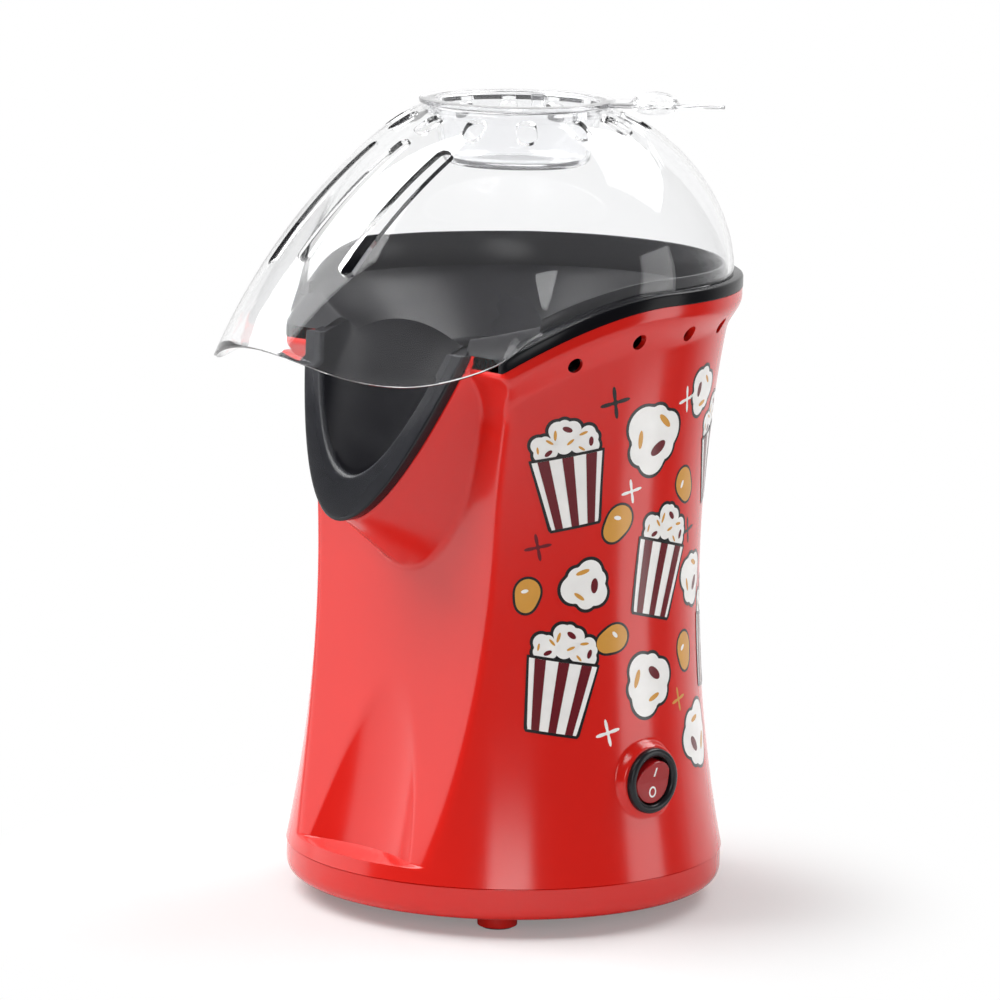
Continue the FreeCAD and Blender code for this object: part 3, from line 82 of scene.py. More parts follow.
class Sock:
    """A shader socket that takes part in Python sums."""

    def __init__(self, graph: "Graph", socket: bpy.types.NodeSocket) -> None:
        """Wrap a socket of a graph."""
        self.graph = graph
        self.socket = socket

    def _sum(self, operation: str, first: Any, second: Any) -> "Sock":
        """One Math node on two values."""
        return self.graph.node("ShaderNodeMath", {"operation": operation}, {0: first, 1: second})

    def __add__(self, other: Any) -> "Sock":
        """Sum."""
        return self._sum("ADD", self, other)

    def __radd__(self, other: Any) -> "Sock":
        """Sum from the right."""
        return self._sum("ADD", other, self)

    def __sub__(self, other: Any) -> "Sock":
        """Difference."""
        return self._sum("SUBTRACT", self, other)

    def __rsub__(self, other: Any) -> "Sock":
        """Difference from the right."""
        return self._sum("SUBTRACT", other, self)

    def __mul__(self, other: Any) -> "Sock":
        """Product."""
        return self._sum("MULTIPLY", self, other)

    def __rmul__(self, other: Any) -> "Sock":
        """Product from the right."""
        return self._sum("MULTIPLY", other, self)

    def maximum(self, other: Any) -> "Sock":
        """The larger of two values."""
        return self._sum("MAXIMUM", self, other)


class Graph:
    """The node tree of a material or a world."""

    def __init__(self, owner: bpy.types.Material | bpy.types.World) -> None:
        """Start an empty node tree.

        Args:
            owner: the material or world that it shades.
        """
        self.owner = owner
        owner.use_nodes = True
        self.tree = owner.node_tree
        self.tree.nodes.clear()

    def node(self, kind: str, settings: dict[str, Any] | None = None,
             inputs: dict[Any, Any] | None = None, output: int | str = 0) -> Sock:
        """Add a node of any kind.

        Args:
            kind: the node's type.
            settings: properties set first; "stops" holds a ramp's (place, colour) pairs.
            inputs: socket values or links, by name or number.
            output: the output that is wanted.

        Returns:
            The wanted output.
        """
        made = self.tree.nodes.new(kind)
        for key, wanted in (settings or {}).items():
            if key == "stops":
                self._stops(made.color_ramp, wanted)
            else:
                setattr(made, key, wanted)
        for key, wanted in (inputs or {}).items():
            if isinstance(wanted, Sock):
                self.tree.links.new(wanted.socket, made.inputs[key])
            else:
                made.inputs[key].default_value = wanted
        return Sock(self, made.outputs[output])

    @staticmethod
    def _stops(ramp: bpy.types.ColorRamp, stops: Sequence[tuple[float, Colour]]) -> None:
        """Set a ramp's stops.

        Args:
            ramp: the ramp.
            stops: its (place, colour) pairs.
        """
        while len(ramp.elements) < len(stops):
            ramp.elements.new(1.0)
        for element, (place, colour) in zip(ramp.elements, stops):
            element.position = place
            element.color = (*colour, 1.0)

    def noise(self, size_mm: float, detail: float = 2.0) -> Sock:
        """Even noise in the object's own space, with grains of a size in millimetres.

        Args:
            size_mm: size of the grains.
            detail: layers of finer noise.

        Returns:
            The noise.
        """
        where = self.node("ShaderNodeTexCoord", output="Object")
        return self.node("ShaderNodeTexNoise", None,
                         {"Vector": where, "Scale": 1.0 / (size_mm * MM), "Detail": detail}, "Fac")

    def mixed(self, share: Sock, first: Colour, second: Colour) -> Sock:
        """A colour between two, by a share."""
        return self.node("ShaderNodeMix", {"data_type": "RGBA"},
                         {"Factor": share, 6: (*first, 1.0), 7: (*second, 1.0)}, 2)

    def bump(self, height: Sock, depth_mm: float) -> Sock:
        """A normal from a height."""
        return self.node("ShaderNodeBump", None,
                         {"Strength": 1.0, "Distance": depth_mm * MM, "Height": height})

    def eased(self, value: Sock, start: Pair, end: Pair) -> Sock:
        """A value eased from one range into another.

        Args:
            value: the value.
            start: the range that it comes from.
            end: the range that it goes to.

        Returns:
            The eased value.
        """
        ends = {"From Min": start[0], "From Max": start[1], "To Min": end[0], "To Max": end[1]}
        return self.node("ShaderNodeMapRange", {"interpolation_type": "SMOOTHSTEP"},
                         {"Value": value, **ends}, "Result")

    def ray(self, kind: str) -> Sock:
        """1 for rays of a kind, 0 for others."""
        return self.node("ShaderNodeLightPath", output=f"Is {kind} Ray")

    def blend(self, share: Sock, first: Sock, second: Sock) -> Sock:
        """A mix of two shaders, by a share."""
        return self.node("ShaderNodeMixShader", None, {0: share, 1: first, 2: second}, "Shader")

    def surface(self, **inputs: Any) -> bpy.types.Material:
        """Close the graph with one principled surface; an input's name has _ for each space."""
        named = {key.replace("_", " "): wanted for key, wanted in inputs.items()}
        return self.close(self.node("ShaderNodeBsdfPrincipled", None, named, "BSDF"))

    def close(self, shader: Sock) -> bpy.types.Material | bpy.types.World:
        """Join a shader to the output and give the owner.

        Args:
            shader: the shader.

        Returns:
            The owner.
        """
        world = isinstance(self.owner, bpy.types.World)
        end = self.tree.nodes.new("ShaderNodeOutputWorld" if world else "ShaderNodeOutputMaterial")
        self.tree.links.new(shader.socket, end.inputs["Surface"])
        return self.owner


@dataclass(frozen=True)
class Finish:
    """A surface finish; each kind makes its own material."""

    name: str
    colour: Colour
    roughness: float = 0.3
    made: ClassVar[dict[str, bpy.types.Material]] = {}

    def material(self) -> bpy.types.Material:
        """The finish's material, made once.

        Returns:
            The material.
        """
        if self.name not in self.made:
            self.made[self.name] = self.make(Graph(bpy.data.materials.new(self.name)))
        return self.made[self.name]

    def shade(self, share: float) -> Colour:
        """The finish's colour, lighter or darker."""
        return tuple(min(1.0, part * share) for part in self.colour)

    def make(self, graph: Graph) -> bpy.types.Material:
        """Make the material in a graph."""
        raise NotImplementedError

    def dress(self, *pieces: bpy.types.Object) -> None:
        """Put the finish on pieces.

        Args:
            pieces: the pieces.
        """
        for piece in pieces:
            piece.data.materials.clear()
            piece.data.materials.append(self.material())


@dataclass(frozen=True)
class Moulded(Finish):
    """Injection-moulded plastic with a faint orange peel and flow mottle."""

    mottle: float = 0.08
    grain_mm: float = 0.9
    grain_depth: float = 0.004
    specular: float = 0.5
    gloss_wander: float = 0.05
    cloud_mm: float = 38.0
    haze_mm: float = 11.0

    def make(self, graph: Graph) -> bpy.types.Material:
        """Make the material in a graph.

        Args:
            graph: an empty graph.

        Returns:
            The material.
        """
        cloud = graph.noise(self.cloud_mm, 3.0)
        colour = graph.mixed(cloud, self.shade(1.0 - self.mottle), self.shade(1.0 + self.mottle))
        haze = graph.noise(self.haze_mm, 4.0)
        rough = haze * self.gloss_wander + (self.roughness - self.gloss_wander / 2)
        normal = graph.bump(graph.noise(self.grain_mm, 1.0), self.grain_depth)
        return graph.surface(Base_Color=colour, Roughness=rough, Normal=normal, IOR=1.5,
                             Specular_IOR_Level=self.specular)


@dataclass(frozen=True)
class Clear(Finish):
    """Clear moulded plastic that lets the lamps through, with a faint milky haze."""

    milk: float = 0.006
    bend: float = 1.49
    milk_colour: Colour = (0.9, 0.9, 0.92)
    haze_mm: float = 16.0

    def make(self, graph: Graph) -> bpy.types.Material:
        """Make the material in a graph.

        Args:
            graph: an empty graph.

        Returns:
            The material.
        """
        haze = graph.noise(self.haze_mm, 2.0)
        rough = haze * (self.roughness * 0.8) + self.roughness * 0.6
        glass = graph.node("ShaderNodeBsdfPrincipled", None, {
            "Base Color": (*self.colour, 1.0), "Roughness": rough, "IOR": self.bend,
            "Transmission Weight": 1.0}, "BSDF")
        open_way = graph.node("ShaderNodeBsdfTransparent", None, {"Color": (*self.colour, 1.0)}, "BSDF")
        milk = graph.node("ShaderNodeBsdfDiffuse", None, {"Color": (*self.milk_colour, 1.0)}, "BSDF")
        cloudy = graph.blend(haze * self.milk + self.milk / 2, glass, milk)
        return graph.close(graph.blend(graph.ray("Shadow"), cloudy, open_way))


@dataclass(frozen=True)
class Metal(Finish):
    """Sheet or turned metal with fine tool lines."""

    line_mm: float = 0.35
    line_depth: float = 0.01
    gloss_wander: float = 0.14
    cloud_mm: float = 14.0
    shades: Pair = (0.88, 1.08)

    def make(self, graph: Graph) -> bpy.types.Material:
        """Make the material in a graph.

        Args:
            graph: an empty graph.

        Returns:
            The material.
        """
        lines = graph.noise(self.line_mm, 2.0)
        colour = graph.mixed(graph.noise(self.cloud_mm, 3.0), *map(self.shade, self.shades))
        rough = lines * self.gloss_wander + (self.roughness - self.gloss_wander / 2)
        return graph.surface(Base_Color=colour, Metallic=1.0, Roughness=rough,
                             Normal=graph.bump(lines, self.line_depth))


@dataclass(frozen=True)
class Matt(Finish):
    """Dull rubber, laminate, mica or ink with a fine tooth."""

    tooth_mm: float = 0.5
    tooth_depth: float = 0.02
    gloss_wander: float = 0.12
    cloud_mm: float = 9.0
    shades: Pair = (0.9, 1.1)

    def make(self, graph: Graph) -> bpy.types.Material:
        """Make the material in a graph.

        Args:
            graph: an empty graph.

        Returns:
            The material.
        """
        tooth = graph.noise(self.tooth_mm, 3.0)
        colour = graph.mixed(graph.noise(self.cloud_mm, 3.0), *map(self.shade, self.shades))
        rough = tooth * self.gloss_wander + (self.roughness - self.gloss_wander / 2)
        return graph.surface(Base_Color=colour, Roughness=rough,
                             Normal=graph.bump(tooth, self.tooth_depth))


RED = Moulded("red_plastic", (0.63, 0.013, 0.008), 0.17, mottle=0.04)
BLACK = Moulded("black_plastic", (0.011, 0.0115, 0.014), 0.26, mottle=0.1,
                grain_mm=1.2, grain_depth=0.002, specular=0.3)
BLACK_GLOSS = Moulded("black_gloss", (0.005, 0.005, 0.0065), 0.22, mottle=0.1,
                      grain_mm=1.4, grain_depth=0.001, specular=0.12)
# Painted shade: the slide and its corner blocks get a darker, less reflective copy of the insert's black
# plastic, standing in for the shade under the hood and beak.
BLACK_SLIDE_PAINTED_SHADE = Moulded("black_slide", (0.004, 0.004, 0.0052), 0.3, mottle=0.1,
                      grain_mm=1.4, grain_depth=0.001, specular=0.04)
CLEAR = Clear("clear_plastic", (0.985, 0.987, 0.99), 0.012, milk=0.004, bend=1.33)
CLEAR_CUP = Clear("clear_cup", (0.98, 0.982, 0.988), 0.02, milk=0.03)
ROCKER_RED = Moulded("rocker_red", (0.32, 0.006, 0.008), 0.14, mottle=0.05)
RUBBER = Matt("foot_rubber", (0.03, 0.03, 0.032), 0.7)
MARK_WHITE = Matt("mark_white", (0.85, 0.85, 0.84), 0.4)


def print_ink(name: str, colour: Colour) -> Matt:
    """A smooth print ink."""
    return Matt("ink_" + name, colour, 0.22, tooth_mm=0.8, tooth_depth=0.002)


INK_BLACK = print_ink("black", (0.012, 0.011, 0.012))
INK_WHITE = print_ink("white", (0.86, 0.85, 0.83))
INK_OCHRE = print_ink("ochre", (0.62, 0.3, 0.05))
INK_MAROON = print_ink("maroon", (0.13, 0.006, 0.012))

SLOT_FINISHES: dict[str, Finish] = {
    "red_plastic": RED,
    "black_plastic": BLACK,
    "clear_plastic": CLEAR,
    "rocker_red": ROCKER_RED,
    "foot_rubber": RUBBER,
    "aluminium": Metal("aluminium", (0.74, 0.74, 0.75), 0.34),
    "steel": Metal("steel", (0.5, 0.51, 0.52), 0.32),
    "dark_resin": Moulded("dark_resin", (0.035, 0.034, 0.033), 0.48, mottle=0.15),
    "mica": Matt("mica", (0.5, 0.42, 0.26), 0.4, tooth_mm=1.5, tooth_depth=0.05),
    "heater_alloy": Metal("heater_alloy", (0.26, 0.23, 0.21), 0.5),
    "bronze": Metal("bronze", (0.55, 0.36, 0.16), 0.42),
    "copper": Metal("copper", (0.68, 0.3, 0.15), 0.35),
    "ferrite": Matt("ferrite", (0.05, 0.05, 0.055), 0.6),
    "carbon": Matt("carbon", (0.025, 0.025, 0.025), 0.75),
    "silicone": Matt("silicone", (0.42, 0.1, 0.06), 0.6),
    "board": Matt("board", (0.03, 0.13, 0.05), 0.4, tooth_mm=0.6, tooth_depth=0.01),
    "lamp_glass": Moulded("lamp_glass", (0.75, 0.3, 0.12), 0.1),
}


# Mesh making


def to_frame(points: Array) -> Array:
    """Points in metres in the shared frame, from millimetres about the barrel's axis."""
    return (points + np.array((0.0, AXIS_BACK, 0.0))) * MM


def new_piece(name: str, points: Array, faces: Sequence[Sequence[int]]) -> bpy.types.Object:
    """A smooth-shaded mesh piece.

    Args:
        name: the piece's name.
        points: its corners in millimetres about the barrel's axis.
        faces: its faces' corner numbers.

    Returns:
        The piece, in the scene.
    """
    mesh = bpy.data.meshes.new(name)
    mesh.from_pydata(to_frame(np.asarray(points, float)).tolist(), [], [list(face) for face in faces])
    mesh.validate()
    mesh.update()
    mesh.shade_smooth()
    piece = bpy.data.objects.new(name, mesh)
    bpy.context.scene.collection.objects.link(piece)
    return piece


def grid_faces(rows: int, columns: int, wrap_rows: bool = False, wrap_columns: bool = False,
               start: int = 0, flip: bool = False) -> Faces:
    """Faces of a grid of corners, row by row.

    Args:
        rows: rows of corners.
        columns: columns of corners.
        wrap_rows: join the last row to the first.
        wrap_columns: join the last column to the first.
        start: number of the first corner.
        flip: turn the faces over.

    Returns:
        The faces.
    """
    faces = []
    for row in range(rows if wrap_rows else rows - 1):
        below = (row + 1) % rows
        for column in range(columns if wrap_columns else columns - 1):
            beside = (column + 1) % columns
            corners = ((row, column), (row, beside), (below, beside), (below, column))
            face = tuple(start + line * columns + place for line, place in corners)
            faces.append(face[::-1] if flip else face)
    return faces


def prism_faces(count: int) -> Faces:
    """Faces of a prism between two rings of corners."""
    caps = [tuple(range(count))[::-1], tuple(range(count, 2 * count))]
    return caps + grid_faces(2, count, False, True)


def disc_faces(rings: int, steps: int) -> Faces:
    """Faces of a disc from its middle corner out through rings of corners."""
    fan = [(0, 1 + step, 1 + (step + 1) % steps) for step in range(steps)]
    return fan + grid_faces(rings, steps, False, True, start=1)


def even_turns(count: int) -> list[float]:
    """Even angles round a full turn, in radians."""
    return [2 * math.pi * step / count for step in range(count)]


def slot_cutter(ends: Sequence[Vector], along: Vector, across: Vector, half: float,
                levels: Sequence[Vector], steps: int) -> Solid:
    """A cutter for a long hole with round ends.

    Args:
        ends: middles of its two round ends.
        along: unit direction from the first to the second.
        across: unit direction across it.
        half: half its width.
        levels: shifts to its bottom and its top.
        steps: steps round each end.

    Returns:
        Corners and faces.
    """
    corners = []
    for level in levels:
        for sign, middle in zip((-half, half), ends):
            for step in range(steps + 1):
                angle = math.pi * step / steps - math.pi / 2
                out = along * (sign * math.cos(angle)) + across * (sign * math.sin(angle))
                corners.append(tuple(middle + out + level))
    return np.array(corners), prism_faces(len(corners) // 2)


def spun(profile: Sequence[Pair], segments: int, axis: Axis, centre: Sequence[float]) -> Solid:
    """Corners and faces of an outline spun about an axis.

    Args:
        profile: closed outline of (radius, height) pairs.
        segments: corners round the axis.
        axis: the axis that it is spun about.
        centre: the axis's foot.

    Returns:
        Corners and faces.
    """
    points = []
    for angle in even_turns(segments):
        for radius, height in profile:
            side, other = radius * math.cos(angle), radius * math.sin(angle)
            spot = (side, other, height) if axis is Axis.UP else (height, side, other)
            points.append([a + b for a, b in zip(spot, centre)])
    return np.array(points), grid_faces(segments, len(profile), True, True)


def turned(name: str, profile: Sequence[Pair], segments: int = 96, axis: Axis = Axis.UP,
           centre: Place = (0.0, 0.0, 0.0)) -> bpy.types.Object:
    """A piece spun about an axis from a closed (radius, height) outline."""
    return joined(name, [spun(profile, segments, axis, centre)])


def creased(piece: bpy.types.Object, crease: float) -> None:
    """Shade a piece smoothly but for edges sharper than an angle in degrees."""
    piece.data.shade_smooth()
    piece.data.set_sharp_from_angle(angle=math.radians(crease))


def tidy(piece: bpy.types.Object, crease: float = 38.0) -> None:
    """Weld a piece's doubled corners, turn its faces outwards and crease its sharp edges.

    Args:
        piece: the piece.
        crease: least angle of a sharp edge, in degrees.
    """
    work = bmesh.new()
    work.from_mesh(piece.data)
    bmesh.ops.remove_doubles(work, verts=work.verts, dist=1e-6)
    bmesh.ops.dissolve_degenerate(work, edges=work.edges, dist=1e-7)
    bmesh.ops.recalc_face_normals(work, faces=work.faces)
    work.to_mesh(piece.data)
    work.free()
    creased(piece, crease)


def rounded(outline: Sequence[tuple[float, float, float]], steps: int = 6) -> list[Pair]:
    """A closed outline with round corners.

    Args:
        outline: corners as (radius, height, corner round).
        steps: points on each round.

    Returns:
        The outline's points.
    """
    result: list[Pair] = []
    total = len(outline)
    for item in range(total):
        before, here, after = (Vector(outline[(item + shift) % total][:2]) for shift in (-1, 0, 1))
        size = outline[item][2]
        if size <= 0:
            result.append((here.x, here.y))
            continue
        back, ahead = before - here, after - here
        reach = min(size, back.length * 0.48, ahead.length * 0.48)
        start, end = here + back.normalized() * reach, here + ahead.normalized() * reach
        for step in range(steps + 1):
            share = step / steps
            spot = start.lerp(here, share).lerp(here.lerp(end, share), share)
            result.append((spot.x, spot.y))
    return result


def rod(start: Vector, end: Vector, radius: float, segments: int = 32) -> Solid:
    """Corners and faces of a capped cylinder, in millimetres about the barrel's axis.

    Args:
        start: middle of one end.
        end: middle of the other end.
        radius: its radius.
        segments: steps round it.

    Returns:
        Corners and faces.
    """
    way = (end - start).normalized()
    side = way.orthogonal().normalized()
    other = way.cross(side)
    points = [centre + (side * math.cos(angle) + other * math.sin(angle)) * radius
              for centre in (start, end) for angle in even_turns(segments)]
    return np.array(points), prism_faces(segments)


def joined(name: str, parts: Iterable[Solid]) -> bpy.types.Object:
    """One piece from several sets of corners and faces.

    Args:
        name: the piece's name.
        parts: sets of corners and faces.

    Returns:
        The piece, tidied.
    """
    points, faces, start = [], [], 0
    for corners, sides in parts:
        points.append(corners)
        faces += [tuple(start + corner for corner in side) for side in sides]
        start += len(corners)
    piece = new_piece(name, np.vstack(points), faces)
    tidy(piece)
    return piece


def baked(piece: bpy.types.Object) -> None:
    """Apply a piece's modifiers to its mesh.

    Args:
        piece: the piece.
    """
    graph = bpy.context.evaluated_depsgraph_get()
    mesh = bpy.data.meshes.new_from_object(piece.evaluated_get(graph))
    old = piece.data
    piece.modifiers.clear()
    piece.data = mesh
    bpy.data.meshes.remove(old)
    mesh.name = piece.name


def drilled(piece: bpy.types.Object, cutter: bpy.types.Object, crease: float = 38.0) -> None:
    """Take a cutter away from a piece.

    Args:
        piece: the piece.
        cutter: the cutter, which is used up.
        crease: least angle of a sharp edge, in degrees.
    """
    change = piece.modifiers.new("drill", "BOOLEAN")
    change.object = cutter
    change.operation = "DIFFERENCE"
    change.solver = "EXACT"
    baked(piece)
    bpy.data.objects.remove(cutter)
    creased(piece, crease)


def softened(piece: bpy.types.Object, width_mm: float, segments: int = 3) -> None:
    """Round a piece's sharp edges.

    Args:
        piece: the piece.
        width_mm: width of the round.
        segments: steps round it.
    """
    change = piece.modifiers.new("soften", "BEVEL")
    change.width = width_mm * MM
    change.segments = segments
    change.limit_method = "ANGLE"
    change.angle_limit = math.radians(30)
    baked(piece)
    piece.data.shade_smooth()


def smooth_least(first: Array, second: Array, blend: Array | float) -> Array:
    """The lesser of two, with a round of a size where they meet."""
    near = np.maximum(blend - np.abs(first - second), 0.0) / blend
    return np.minimum(first, second) - near * near * blend / 4


def smooth_most(first: Array, second: Array, blend: Array | float) -> Array:
    """The greater of two, with a round of a size where they meet."""
    return -smooth_least(-first, -second, blend)


def ease(share: Array | float) -> Array:
    """A soft step from 0 to 1."""
    held = np.clip(share, 0.0, 1.0)
    return held * held * (3 - 2 * held)


# Sub-assemblies


@dataclass
class Rim:
    """Line of the barrel's top edge."""

    height: float = 219.0
    curve: float = 88.0

    def at(self, depth: Array | float) -> Array:
        """Height of the rim over a depth behind the axis."""
        ahead = np.clip(-np.asarray(depth, float), 0.0, self.curve)
        return self.height - self.curve + np.sqrt(self.curve**2 - ahead**2)


@dataclass
class Spout:
    """Beak of the barrel and the V of the chute's mouth."""

    root_half: float = 40.0
    root_depth: float = 47.5
    root_foot: float = 120.5
    top: float = 202.0
    flange_half: float = 40.3
    flange_tip: float = 142.0
    flange_reach: float = 62.1
    lean: float = 18.7
    thickness: float = 5.0
    mouth_half: float = 32.3
    mouth_tip: float = 157.7

    def front(self, height: Array | float) -> Array:
        """Distance of the flange's front before the axis, at a height."""
        return self.flange_reach + math.tan(math.radians(self.lean)) * (self.top - np.asarray(height, float))

    def back(self, height: Array | float) -> Array:
        """Distance of the flange's back before the axis, at a height."""
        return self.front(height) - self.thickness / math.cos(math.radians(self.lean))

    def half_width(self, height: Array, half: float, tip: float) -> Array:
        """Half the width of a V at a height, 0 below its tip."""
        share = np.clip((self.top - height) / (self.top - tip), 0.0, 1.0)
        return half * np.sqrt(1.0 - share)

    def radius(self, angle: Array, height: Array) -> Array:
        """Distance of the beak's outside from the axis, 0 where there is none.

        Args:
            angle: angles from the front, in radians.
            height: one height for each angle.

        Returns:
            Distances in millimetres.
        """
        result = np.zeros_like(angle)
        asked = (np.abs(angle) < 1.2) & (height > self.root_foot) & (height < self.top + 0.01)
        turn, level = np.abs(angle[asked])[:, None], height[asked][:, None]
        steps = np.linspace(0.0, 1.0, 80)[None, :]
        deep = (1 - steps) * (self.top - self.root_foot) + steps * (self.top - self.flange_tip)
        drop = np.clip((self.top - level) / deep, 0.0, 1.0)
        share = (1 - np.sqrt(1 - drop)) / 2
        root = self.root_half * (1 - 2 * share) * (1 + 2 * share * (1 - share))
        across = (1 - steps) * root + steps * self.flange_half * (1 - 2 * share)
        level_end = self.top - (self.top - self.flange_tip) * drop
        before = (1 - steps) * self.root_depth + steps * self.back(level_end)
        turns = np.arctan2(across, before)
        wider = np.clip((turns > turn).sum(1), 1, steps.size - 1)
        row = np.arange(len(wider))
        high, low = turns[row, wider - 1], turns[row, wider]
        part = np.clip((high - turn[:, 0]) / np.maximum(high - low, 1e-9), 0.0, 1.0)
        reach = np.hypot(across, before)
        found = reach[row, wider - 1] * (1 - part) + reach[row, wider] * part
        on_plane = turn[:, 0] < turns[:, -1]
        found = np.where(on_plane, self.back(level[:, 0]) / np.cos(turn[:, 0]), found)
        result[asked] = np.where(turn[:, 0] > turns[:, 0], 0.0, found)
        return result


@dataclass
class Barrel:
    """Red waisted barrel with its front face, scoop, beak, collar and switch collar."""

    rim: Rim = field(default_factory=Rim)
    spout: Spout = field(default_factory=Spout)
    waist: float = 67.7
    waist_height: float = 118.0
    curve: float = 502.0
    collar: float = 80.4
    cove: float = 15.0
    face: float = 50.0
    face_height: float = 140.0
    face_curve: float = 356.0
    flare_height: float = 178.0
    flare: float = 25.0
    corner: float = 57.4
    ledge: float = 23.4
    scoop_depth: float = 5.0
    scoop_round: float = 72.0
    scoop_stretch: float = 2.18
    scoop_lean: float = 14.8
    scoop_edge: float = 0.5
    ridge_round: float = 1.6
    beak_round: float = 1.8
    switch_height: float = 52.0
    switch_face: float = 74.0
    switch_collar: float = 13.0
    switch_bore: float = 10.3
    hole_count: int = 14
    hole_start: float = 63.0
    hole_pitch: float = 18.0
    hole_drop: float = 11.0
    hole_radius: float = 2.75
    gland_height: float = 32.0
    gland_radius: float = 5.9
    hole_from: float = 60.0
    bore_from: float = 50.0
    cut_to: float = 90.0
    beak_turn: float = 45.0
    beak_run: float = 3.5
    side_top: float = 205.0
    cove_share: float = 0.8
    collar_blend: float = 2.2
    face_turn: float = 1.35
    face_least: float = 0.17
    ledge_blend: float = 1.0
    switch_least: float = 0.8
    mouth_near: float = 2.0
    wall: float = 2.5
    spans: ClassVar[tuple[tuple[float, float, float], ...]] = (
        (-60.0, -46.0, 0.8), (-46.0, 46.0, 0.4), (46.0, 60.0, 0.8), (60.0, 74.0, 1.5),
        (74.0, 106.0, 0.4), (106.0, 300.0, 2.2))
    ledge_levels: ClassVar[tuple[float, ...]] = (
        18.0, 18.4, 19.2, 20.5, 21.8, 22.5, 22.9, 23.1, 23.3, 23.5, 23.7, 23.9, 24.3, 25.0, 26.5)
    row_spans: ClassVar[tuple[tuple[float, float, int], ...]] = (
        (0.0, 0.04, 8), (0.04, 0.23, 60), (0.23, 1.0, 146))

    def side(self, height: Array) -> Array:
        """Radius of the plain waisted side."""
        return self.waist + self.curve - np.sqrt(self.curve**2 - (height - self.waist_height) ** 2)

    def face_depth(self, height: Array) -> Array:
        """Distance of the front face before the axis.

        Args:
            height: heights.

        Returns:
            Distances in millimetres.
        """
        low = np.clip(self.face_height - height, 0.0, self.face_height)
        bowed = self.face + self.face_curve - np.sqrt(self.face_curve**2 - low**2)
        rise = np.clip(height - self.flare_height, 0.0, self.flare * 0.999)
        flared = self.face + self.flare - np.sqrt(self.flare**2 - rise**2)
        return np.where(height < self.flare_height, bowed, np.minimum(flared, self.corner))

    def scoop(self, angle: Array, height: Array) -> Array:
        """Distance from the axis to the scoop's hollow, large where there is none.

        Args:
            angle: angles from the front, in radians.
            height: heights, in the same shape.

        Returns:
            Distances in millimetres.
        """
        lean = math.radians(self.scoop_lean)
        along = np.array((0.0, math.sin(lean), math.cos(lean)))
        outward = np.array((0.0, -math.cos(lean), math.sin(lean)))
        foot = np.array((0.0, -float(self.face_depth(np.array(self.ledge))), self.ledge))
        centre = foot + outward * (self.scoop_round - self.scoop_depth)
        ray = np.stack((np.sin(angle), -np.cos(angle), np.zeros_like(angle)), -1)
        start = np.stack((np.zeros_like(angle), np.zeros_like(angle), height), -1) - centre
        sizes = (self.scoop_round, self.scoop_round * self.scoop_stretch, self.scoop_round)
        rays = np.stack((ray[..., 0], ray @ along, ray @ outward), -1) / sizes
        starts = np.stack((start[..., 0], start @ along, start @ outward), -1) / sizes
        square = (rays**2).sum(-1)
        half = (rays * starts).sum(-1)
        rest = (starts**2).sum(-1) - 1.0
        inside = half**2 - square * rest
        hit = (-half - np.sqrt(np.maximum(inside, 0.0))) / square
        return np.where((inside > 0) & (hit > 0), hit, FAR)

    def radius(self, angle: Array, height: Array) -> Array:
        """Distance of the outside from the axis.

        Args:
            angle: angles from the front, in radians.
            height: heights, in the same shape.

        Returns:
            Distances in millimetres.
        """
        rim = self.rim.at(-self.collar * np.cos(angle))
        drop = np.clip((rim - height) / self.cove, 0.0, 1.0)
        side = self.side(np.minimum(height, self.side_top))
        result = side + (self.collar - side) * ease((1.0 - drop) / self.cove_share)
        ahead = np.cos(angle)
        flat = self.face_depth(height) / np.maximum(ahead, self.face_least)
        flat = np.where((ahead > self.face_least) & (np.abs(angle) <= self.face_turn), flat, FAR)
        stepped = ease((height - self.ledge + self.ledge_blend / 2) / self.ledge_blend)
        faced = smooth_least(result, flat, self.ridge_round)
        faced = smooth_least(faced, self.scoop(angle, height), self.scoop_edge)
        result = result + (faced - result) * stepped
        beak = self.spout.radius(angle, height)
        result = np.where(beak > 0, smooth_most(result, beak, self.beak_round), result)
        sideways = np.sin(angle)
        near = np.hypot(result * np.cos(angle), height - self.switch_height)
        plane = self.switch_face / np.maximum(sideways, 0.5)
        share = ease((self.switch_collar + self.collar_blend / 2 - near) / self.collar_blend)
        raised = result + np.maximum(plane - result, 0.0) * share
        return np.where(sideways > self.switch_least, raised, result)

    def top(self, angle: Array) -> Array:
        """Height of the top edge at angles.

        Args:
            angle: angles from the front, in radians.

        Returns:
            Heights in millimetres.
        """
        flat = np.where(np.cos(angle) > 0.2, self.corner / np.maximum(np.cos(angle), 0.2), FAR)
        height = self.rim.at(-np.minimum(self.collar, flat) * np.cos(angle))
        inside = ease((math.radians(self.beak_turn) - np.abs(angle)) / math.radians(self.beak_run))
        return height + (self.spout.top - height) * inside

    def build(self) -> bpy.types.Object:
        """The barrel as one shell with its openings.

        Returns:
            The piece.
        """
        angles = np.radians(np.concatenate([np.arange(*span) for span in self.spans]))
        low = np.array(self.ledge_levels)
        shares = np.concatenate([np.linspace(*span)[1:] for span in self.row_spans])
        turn = np.mod(angles + math.pi, 2 * math.pi) - math.pi
        top = self.top(turn)
        heights = np.vstack([np.full_like(angles, level) for level in low]
                            + [low[-1] + (top - low[-1]) * share for share in shares])
        turns = np.broadcast_to(turn, heights.shape).copy()
        reach = self.radius(turns, heights)
        points = np.stack((reach * np.sin(turns), -reach * np.cos(turns), heights), -1)
        rows, columns = heights.shape
        faces = grid_faces(rows, columns, False, True)
        flat = points.reshape(-1, 3)
        kept = [face for face in faces if not self._in_mouth(flat[list(face)].mean(0))]
        piece = new_piece("barrel_shell", flat, kept)
        tidy(piece, 60.0)
        change = piece.modifiers.new("wall", "SOLIDIFY")
        change.thickness = self.wall * MM
        change.offset = -1.0
        baked(piece)
        drilled(piece, self._openings(), 50.0)
        return piece

